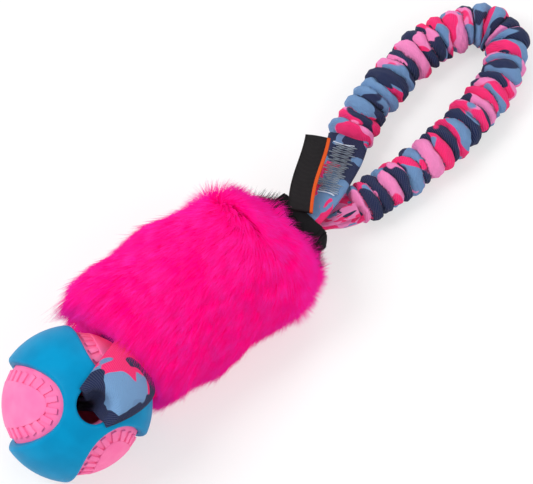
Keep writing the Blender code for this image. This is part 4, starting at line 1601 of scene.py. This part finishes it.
    def build_tape(self, finish: Material) -> None:
        """Builds the woven tape folded round the sewn end, slightly puckered between its stitches.

        Args:
            finish: its material.
        """
        low, high = (np.array(corner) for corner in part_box("binding_tape"))
        middle, half = (low + high) / 2, (high - low) / 2
        rows, columns = self.tape_rows, self.tape_columns
        turns = angles(columns)
        side, up = squircle(turns, self.tape_roundness)
        profile = [(t, 0.0) for t in np.linspace(-1.0, 1.0, rows)]
        profile += [(t, -self.tape_wall) for t in np.linspace(1.0, -1.0, rows)]
        rings = []
        for along, inset in profile:
            edge = self.tape_edge * smoothstep(0.8, 1.0, np.array([abs(along)]))[0]
            depth = inset + (edge if inset else -edge)
            pucker = 0.0 if inset else self.tape_pucker * np.sin(turns * self.tape_puckers + along * 2.0)
            rings.append(np.stack([np.full(columns, middle[0] + half[0] * along),
                                   middle[1] + (half[1] + depth - pucker) * side,
                                   middle[2] + (half[2] + depth - pucker) * up], 1))
        faces = grid_faces(len(rings) + 1, columns) % (len(rings) * columns)
        made = from_arrays("woven_tape", np.concatenate(rings), faces)
        mend(made.data)
        dress(made, finish, "black_tape", Body.FUR, "binding_tape")


@dataclass
class Handle:
    """The gathered webbing round its elastic core, and its two flat sewn ends."""

    seed: int = 21
    floor_level: float = 0.0105
    groove_radius: float = 0.0070
    fold_height: float = 0.0041
    core_radius: float = 0.0058
    fold_count: int = 38
    rings: int = 620
    columns: int = 112
    hidden_cloth: float = 0.015
    flat_radius: float = 0.0062
    fold_wander: float = 0.44
    fold_widths: tuple[float, float] = (0.7, 1.35)
    fold_heights: tuple[float, float] = (0.8, 1.15)
    end_reach: float = 0.0035
    swell_power: float = 0.42
    frill_share: float = 0.30
    wrinkle_depth: float = 0.00013
    crease_waves: tuple = ((1, 0.6), (2, 0.35), (3, 0.22), (5, 0.12))
    wrinkle_waves: tuple = ((7, 900.0), (11, -1300.0), (4, 2100.0))
    floor_clearance: float = 0.00002
    stitch_count: int = 27
    stitch_swing: float = 0.0052
    stitch_scatter: float = 0.0010
    stitch_radius: float = 0.00030
    band_samples: int = 60
    band_cells: int = 20
    band_thickness: float = 0.0042
    tail_thickness: float = 0.0020
    hinge_inside: float = 0.001
    hinge_outside: float = 0.016
    band_print_width: float = 0.030
    band_back_shift: float = 0.006
    core_samples: int = 160
    core_columns: int = 24
    braid_strands: int = 8
    braid_depth: float = 0.02
    braid_twist: float = 1.3
    route: tuple = (
        (0.1268, 0.0237), (0.1428, 0.0299), (0.1649, 0.0351), (0.1868, 0.0374), (0.2049, 0.0370),
        (0.2209, 0.0325), (0.2308, 0.0220), (0.2289, 0.0095), (0.2179, 0.0), (0.2009, -0.0070),
        (0.1828, -0.0100), (0.1649, -0.0125), (0.1449, -0.0130), (0.1247, -0.0120), (0.1108, -0.0099),
        (0.1004, -0.0086),
    )

    def centre_line(self, samples: int) -> np.ndarray:
        """Returns points spread evenly along the handle's centre line."""
        return smooth_route([(x, y, self.floor_level) for x, y in self.route], samples)

    def fold_edges(self, length: float, random: np.random.Generator, turns: np.ndarray) -> np.ndarray:
        """Lays the creases between the folds, each wandering as it goes round.

        Args:
            length: the handle's length along its centre line.
            random: the source of chance.
            turns: the angles round the handle.

        Returns:
            The place of each crease at each angle.
        """
        widths = random.uniform(*self.fold_widths, self.fold_count)
        widths *= length / widths.sum()
        edges = np.concatenate([[0.0], np.cumsum(widths)])
        table = np.repeat(edges[:, None], len(turns), 1)
        for k in range(1, self.fold_count):
            room = min(widths[k - 1], widths[k]) * self.fold_wander
            wave = np.zeros(len(turns))
            for order, size in self.crease_waves:
                strength = random.uniform(0.4, 1.0)
                wave += size * strength * np.cos(order * turns + random.uniform(0.0, 2.0 * math.pi))
            table[k] += room * np.clip(wave, -1.0, 1.0)
        return table

    def gathered_skin(self) -> tuple[np.ndarray, np.ndarray]:
        """Shapes the folds of the gathered webbing.

        Returns:
            The skin's points in rings, and how far along the flat cloth each of them lies.
        """
        random = np.random.default_rng(self.seed)
        line = self.centre_line(self.rings)
        length = float(run_length(line)[-1])
        turns = angles(self.columns)
        edges = self.fold_edges(length, random, turns)
        reach = np.linspace(0.0, length, self.rings)
        heights = random.uniform(*self.fold_heights, (self.fold_count, 4))
        radius = np.zeros((self.rings, self.columns))
        fold = np.zeros((self.rings, self.columns), int)
        for j in range(self.columns):
            k = np.clip(np.searchsorted(edges[:, j], reach, side="right") - 1, 0, self.fold_count - 1)
            low, high = edges[k, j], edges[k + 1, j]
            share = np.clip((reach - low) / np.maximum(high - low, 1e-6), 0.0, 1.0)
            swell = np.sin(math.pi * share) ** self.swell_power
            wide = np.clip((high - low) / (length / self.fold_count), 0.35, 1.5) ** 0.5
            tall = heights[k, 0] + 0.16 * np.cos(turns[j] + 6.0 * heights[k, 1]) \
                + 0.12 * np.cos(2 * turns[j] + 9.0 * heights[k, 2])
            frill = 1.0 + self.frill_share * abs(math.cos(turns[j])) ** 5
            radius[:, j] = self.groove_radius + self.fold_height * swell * wide * tall * frill
            fold[:, j] = k
        wrinkle = sum(np.cos(order * turns[None] + random.uniform(0, 6.28) + reach[:, None] * rate)
                      for order, rate in self.wrinkle_waves)
        radius += self.wrinkle_depth * wrinkle
        ends = np.minimum(reach, length - reach)
        radius *= (0.62 + 0.38 * smoothstep(0.0, self.end_reach, ends) ** 0.5)[:, None]
        points = line[:, None] + radius[..., None] * spokes_round(line, turns)
        points[..., 2] = np.maximum(points[..., 2], self.floor_clearance)
        steps = np.linalg.norm(np.diff(points, axis=0), axis=2).mean(1)
        return points, np.concatenate([[0.0], np.cumsum(steps)])[:, None] + fold * self.hidden_cloth

    def build_gathers(self, finish: Material) -> None:
        """Builds the gathered sleeve in one piece that stretches from the legs to the grip.

        Args:
            finish: its material.
        """
        points, along = self.gathered_skin()
        made = tube("gathered_webbing", points)
        turns = angles(self.columns)
        paint_cloth(made, self.flat_radius * np.cos(turns), self.flat_radius * np.sin(turns), along)
        dress(made, finish, "camo_webbing", self.stretch(), "upper_leg_sleeve", "grip_sleeve",
              "lower_leg_sleeve")

    def stretch(self) -> Bend:
        """Finds the bend between the handle's root and its grip.

        Returns:
            The bend.
        """
        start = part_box("upper_leg_sleeve")[0][0]
        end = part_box("grip_sleeve")[0][0]
        return Bend(Body.HANDLE, Body.GRIP, start, end)

    def build_core(self, finish: Material) -> None:
        """Builds the braided elastic core inside the gathers.

        Args:
            finish: its material.
        """
        line = self.centre_line(self.core_samples)[3:-3]
        turns = angles(self.core_columns)
        twist = np.arange(len(line))[:, None] * self.braid_twist
        braid = 1.0 + self.braid_depth * np.cos(self.braid_strands * turns[None] + twist)
        radius = (self.core_radius * braid)[..., None]
        made = tube("elastic_core", line[:, None] + spokes_round(line, turns) * radius)
        dress(made, finish, "bungee", self.stretch(), "bungee_core")

    def band(self, name: str, knots: list, widths: list, thickness: float, shift: float) -> Object:
        """Makes a flat band of webbing with thick rounded selvedges.

        Args:
            name: the piece's name.
            knots: points along the band's middle.
            widths: the band's width at each of those points.
            thickness: the thickness of its plies.
            shift: where its cloth starts along the print.

        Returns:
            The mesh object with its cloth coordinates.
        """
        samples, cells = self.band_samples, self.band_cells
        line = smooth_route(np.array(knots), samples)
        side, up = sides(line)
        width = np.interp(np.linspace(0.0, 1.0, samples), np.linspace(0.0, 1.0, len(widths)), widths)
        shares = np.linspace(-0.5, 0.5, cells + 1)
        puff = 0.62 + 0.38 * np.sqrt(np.clip(1.0 - (2.0 * shares) ** 2, 0.0, 1.0))
        puff[[0, -1]] = 0.3
        middle = line[:, None] - side[:, None] * (shares[None] * width[:, None])[..., None]
        ply = up[:, None] * (puff * thickness / 2)[None, :, None]
        made = tube(name, np.concatenate([middle + ply, (middle - ply)[:, ::-1]], 1))
        flat = np.concatenate([shares, shares[::-1]]) * self.band_print_width
        lift = np.repeat([0.0, self.band_back_shift], cells + 1)
        paint_cloth(made, flat, lift, run_length(line)[:, None] + shift)
        return made

    def build_flat_ends(self, finish: Material, pinker: Material) -> None:
        """Builds the two flattened ends of the webbing that run into the bound end.

        Args:
            finish: the print where the upper end lies.
            pinker: the print where the lower end and its tail lie.
        """
        hem = pivot("handle_fold")
        upper = [(0.040, hem.y, hem.z + 0.0035), (0.060, hem.y, hem.z + 0.0035),
                 (0.076, hem.y + 0.0004, hem.z + 0.0034), (0.092, 0.0030, 0.0228), (0.106, 0.0102, 0.0178),
                 (0.118, 0.0172, 0.0135), (0.1278, 0.0238, 0.0115)]
        made = self.band("upper_flat_end", upper, [0.024, 0.024, 0.0175, 0.0165, 0.0180, 0.0205, 0.0215],
                         self.band_thickness, 0.031)
        dress(made, finish, "camo_webbing", self.hinge(), "upper_sewn_end")
        lower = [(0.040, hem.y, hem.z - 0.0035), (0.060, hem.y, hem.z - 0.0035),
                 (0.076, hem.y - 0.0003, hem.z - 0.0036), (0.084, -0.0026, 0.0168),
                 (0.091, -0.0050, 0.0146), (0.097, -0.0070, 0.0130), (0.1018, -0.0083, 0.0122)]
        made = self.band("lower_flat_end", lower, [0.024, 0.024, 0.0205, 0.0165, 0.0180, 0.0205, 0.0200],
                         self.band_thickness, 0.123)
        dress(made, pinker, "camo_webbing", self.hinge(), "lower_sewn_end")
        tail = [(0.0775, -0.0052, 0.0196), (0.0845, -0.0092, 0.0192), (0.0915, -0.0118, 0.0204),
                (0.0975, -0.0142, 0.0206)]
        made = self.band("sewn_tail", tail, [0.0058, 0.0064, 0.0078, 0.0086], self.tail_thickness, 0.209)
        dress(made, pinker, "camo_webbing", self.hinge())

    def hinge(self) -> Bend:
        """Returns the bend of a flat end where it leaves the bound end."""
        hem = pivot("handle_fold").x
        return Bend(Body.FUR, Body.HANDLE, hem - self.hinge_inside, hem + self.hinge_outside)

    def build_stitches(self, finish: Material) -> None:
        """Builds the dense zigzag stitching across the upper flat end.

        Args:
            finish: the thread's material.
        """
        random = np.random.default_rng(self.seed + 1)
        base = np.array([(0.0900, 0.0020, 0.0258), (0.1000, 0.0072, 0.0230), (0.1120, 0.0138, 0.0180),
                         (0.1225, 0.0201, 0.0150)])
        line = smooth_route(base, self.stitch_count)
        side = np.cross([0.0, 0.0, 1.0], slopes(line))
        zigzag = np.where(np.arange(self.stitch_count) % 2, 1.0, -1.0)
        for row, start in enumerate((-1.0, 1.0)):
            swing = self.stitch_swing * zigzag * start \
                + random.normal(0.0, self.stitch_scatter, self.stitch_count)
            seam = line + side * swing[:, None] + [0.0, 0.0, 0.0001 * row]
            curve = bpy.data.curves.new("stitch_row", "CURVE")
            curve.dimensions = "3D"
            curve.bevel_depth = self.stitch_radius
            curve.bevel_resolution = 2
            curve.use_fill_caps = True
            spline = curve.splines.new("POLY")
            spline.points.add(len(seam) - 1)
            for knot, point in zip(spline.points, seam):
                knot.co = (*point, 1.0)
            pick(placed(f"zigzag_seam_{row + 1}", curve))
            bpy.ops.object.convert(target="MESH")
            replaced = () if row else ("handle_stitches",)
            dress(bpy.context.object, finish, "pale_thread", Body.HANDLE, *replaced)


@dataclass
class Label:
    """The folded woven label with bright woven edges and a bare face."""

    length: float = 0.043
    width: float = 0.0125
    ply: float = 0.0005
    turn: float = math.radians(36.0)
    rise: float = 0.003
    bow: float = 0.0010
    belly: float = 0.0007
    wave: float = 0.0006
    edge_lift: float = 0.00025
    rows: int = 40
    cells: int = 8

    def ribbon(self, name: str, low: float, high: float, lift: float) -> Object:
        """Makes a lengthwise strip of the label.

        Args:
            name: the piece's name.
            low: the strip's lower edge as a share of the width.
            high: the strip's upper edge.
            lift: how far the strip stands proud of the cloth.

        Returns:
            The mesh object.
        """
        root = pivot("label_flap")
        ahead = Vector((math.cos(self.turn), math.sin(self.turn), 0.0))
        across = Z_AXIS.cross(ahead)
        rings = []
        for t in np.linspace(0.0, 1.0, self.rows):
            bow = self.bow * math.sin(math.pi * t * 1.6)
            middle = root + ahead * self.length * t + Z_AXIS * (self.rise * t * t) + across * bow
            belly = self.belly * math.sin(math.pi * t)
            top, under = [], []
            for u in np.linspace(low, high, self.cells + 1):
                wave = Z_AXIS * (self.wave * math.cos(math.pi * u) * t)
                place = middle + across * (u * self.width) + wave
                top.append(place + Z_AXIS * (self.ply + belly + lift))
                under.append(place - Z_AXIS * (self.ply + lift))
            rings.append(top + under[::-1])
        return tube(name, np.array([[tuple(p) for p in ring] for ring in rings]))

    def build(self, cloth: Material, edge: Material) -> None:
        """Builds the label's cloth and its woven edge."""
        dress(self.ribbon("label_cloth", -0.5, 0.5, 0.0), cloth, "label_cloth", Body.LABEL, "label")
        dress(self.ribbon("label_edge", -0.53, -0.40, self.edge_lift), edge, "label_cloth", Body.LABEL)


@dataclass
class Studio:
    """The plain pale floor, the soft lights and the camera."""

    image: tuple[int, int] = (533, 484)
    ball_pixel: tuple[float, float] = (73.7, 403.7)
    ball_pixel_radius: float = 79.0
    ball_radius: float = 0.038
    distance: float = 1.5
    elevation: float = math.radians(60.0)
    azimuth: float = math.radians(-42.8)
    sensor: float = 36.0
    floor_glow: float = 0.55
    floor_size: float = 8.0
    floor_drop: float = 0.0002
    surround: float = 0.62

    def build_camera(self) -> None:
        """Places the camera from the ball's place and size in the image."""
        a, e = self.azimuth, self.elevation
        back = Vector((math.sin(a) * math.cos(e), -math.cos(a) * math.cos(e), math.sin(e)))
        right = Vector((math.cos(a), math.sin(a), 0.0))
        up = back.cross(right)
        scale = self.ball_pixel_radius / self.ball_radius
        middle = (self.image[0] / 2, self.image[1] / 2)
        side = (self.ball_pixel[0] - middle[0]) / scale
        rise = (middle[1] - self.ball_pixel[1]) / scale
        place = pivot("ball_turn") - right * side - up * rise + back * self.distance
        data = bpy.data.cameras.new("camera")
        data.sensor_fit = "HORIZONTAL"
        data.sensor_width = self.sensor
        data.lens = scale * self.distance * self.sensor / self.image[0]
        data.clip_end = 10.0
        camera = placed("camera", data)
        camera.matrix_world = Matrix.Translation(place) @ Matrix((right, up, back)).transposed().to_4x4()
        bpy.context.scene.camera = camera

    def build_floor(self) -> None:
        """Adds the pale floor that keeps the toy's soft shadow."""
        floor = primitive("studio_floor", bpy.ops.mesh.primitive_plane_add, size=self.floor_size,
                          location=(0.0, 0.0, -self.floor_drop))
        made, nodes, shader = new_material("floor_paper")
        nodes.fill(shader, Base_Color=(0.93, 0.93, 0.93), Roughness=0.9, Specular_IOR_Level=0.1)
        glow = nodes.add("ShaderNodeEmission", Color=(1.0, 1.0, 1.0), Strength=1.0)
        camera_ray = nodes.add("ShaderNodeLightPath").outputs["Is Camera Ray"]
        seen = nodes.maths("MULTIPLY", camera_ray, self.floor_glow)
        paper = nodes.add("ShaderNodeMixShader", Fac=seen)
        nodes.feed(paper.inputs[1], shader.outputs[0])
        nodes.feed(paper.inputs[2], glow.outputs[0])
        nodes.feed(made.node_tree.nodes["Material Output"].inputs["Surface"], paper.outputs[0])
        floor.data.materials.append(made)

    def build_lights(self) -> None:
        """Adds the soft key, fill and rim lights and the even surround."""
        lights = (("key", (-0.55, 0.35, 0.95), 0.55, 7.0), ("fill", (0.15, -0.9, 0.8), 0.8, 3.2),
                  ("rim", (0.9, 0.6, 0.6), 0.5, 2.5))
        for name, place, size, power in lights:
            data = bpy.data.lights.new(name, "AREA")
            data.shape = "DISK"
            data.size = size
            data.energy = power
            lamp = placed(name, data)
            lamp.location = place
            lamp.rotation_euler = (-Vector(place)).to_track_quat("-Z", "Y").to_euler()
        world = bpy.data.worlds.new("surround")
        bpy.context.scene.world = world
        world.use_nodes = True
        Nodes(world.node_tree).fill(world.node_tree.nodes["Background"], Color=(1.0, 1.0, 1.0),
                                    Strength=self.surround)

    def build(self) -> None:
        """Builds the studio."""
        self.build_camera()
        self.build_floor()
        self.build_lights()
        bpy.context.scene.view_settings.view_transform = "Standard"


def main() -> None:
    """Builds every piece of the toy and the studio round it."""
    logging.basicConfig(level=logging.INFO, format="%(message)s")
    groups = Groups()
    blue = RubberFinish("blue_rubber_skin", (0.0, 0.262, 0.51), (0.0, 0.225, 0.45)).build(groups)
    pink = RubberFinish("pink_rubber_skin", (0.98, 0.22, 0.45), (0.95, 0.17, 0.40),
                        roughness=0.5).build(groups)
    strap_print = PrintedWebbing("strap_print", blot=0.021, drift=0.13, ground=(0.17, 0.34, 0.60),
                                 shift=(0.0, 0.0128, 0.058)).build(groups)
    handle_print = PrintedWebbing("handle_print", blot=0.022, cool=-0.012).build(groups)
    upper_print = PrintedWebbing("upper_end_print", blot=0.017, ground=(0.15, 0.29, 0.53),
                                 shift=(0.0, 0.013, 0.0)).build(groups)
    lower_print = PrintedWebbing("lower_end_print", blot=0.012, cool=-0.10).build(groups)
    pile = PileFinish().build()
    backing_cloth = WovenFinish("backing_knit", (0.75, 0.0, 0.12), (0.9, 0.0, 0.2)).build(groups)
    wadding = WovenFinish("wadding_fibre", (0.8, 0.8, 0.78), (0.9, 0.9, 0.88)).build(groups)
    tape = WovenFinish("tape_weave", (0.004, 0.004, 0.005), (0.022, 0.020, 0.024)).build(groups)
    thread = WovenFinish("dark_thread_ply", (0.01, 0.01, 0.012), (0.05, 0.05, 0.055),
                         pitch=0.0004).build(groups)
    pale = WovenFinish("pale_thread_ply", (0.66, 0.77, 0.93), (0.95, 0.98, 1.0), pitch=0.0004).build(groups)
    elastic = WovenFinish("elastic_braid", (0.6, 0.58, 0.55), (0.8, 0.78, 0.75)).build(groups)
    label_cloth = WovenFinish("label_satin", (0.005, 0.004, 0.005), (0.020, 0.017, 0.019), pitch=0.0006,
                              roughness=0.55).build(groups)
    label_edge = WovenFinish("label_orange", (0.62, 0.075, 0.012), (0.85, 0.16, 0.03),
                             pitch=0.0006).build(groups)

    Studio().build()
    ball = Ball()
    ball.build_shell(blue)
    ball.build_inner(pink)
    BallStrap(ball).build(strap_print)

    fur = FurSleeve()
    backing = fur.build_backing(backing_cloth)
    fur.build_pile(backing, pile)
    fur.build_wadding(wadding)
    fur.build_tape(tape)
    fur.build_fringe(backing, tape)
    frame["nodes"]["tape_stitches"].material_slots[0].material = thread

    handle = Handle()
    handle.build_gathers(handle_print)
    handle.build_core(elastic)
    handle.build_flat_ends(upper_print, lower_print)
    handle.build_stitches(pale)
    Label().build(label_cloth, label_edge)


if __name__ == "__main__":
    main()
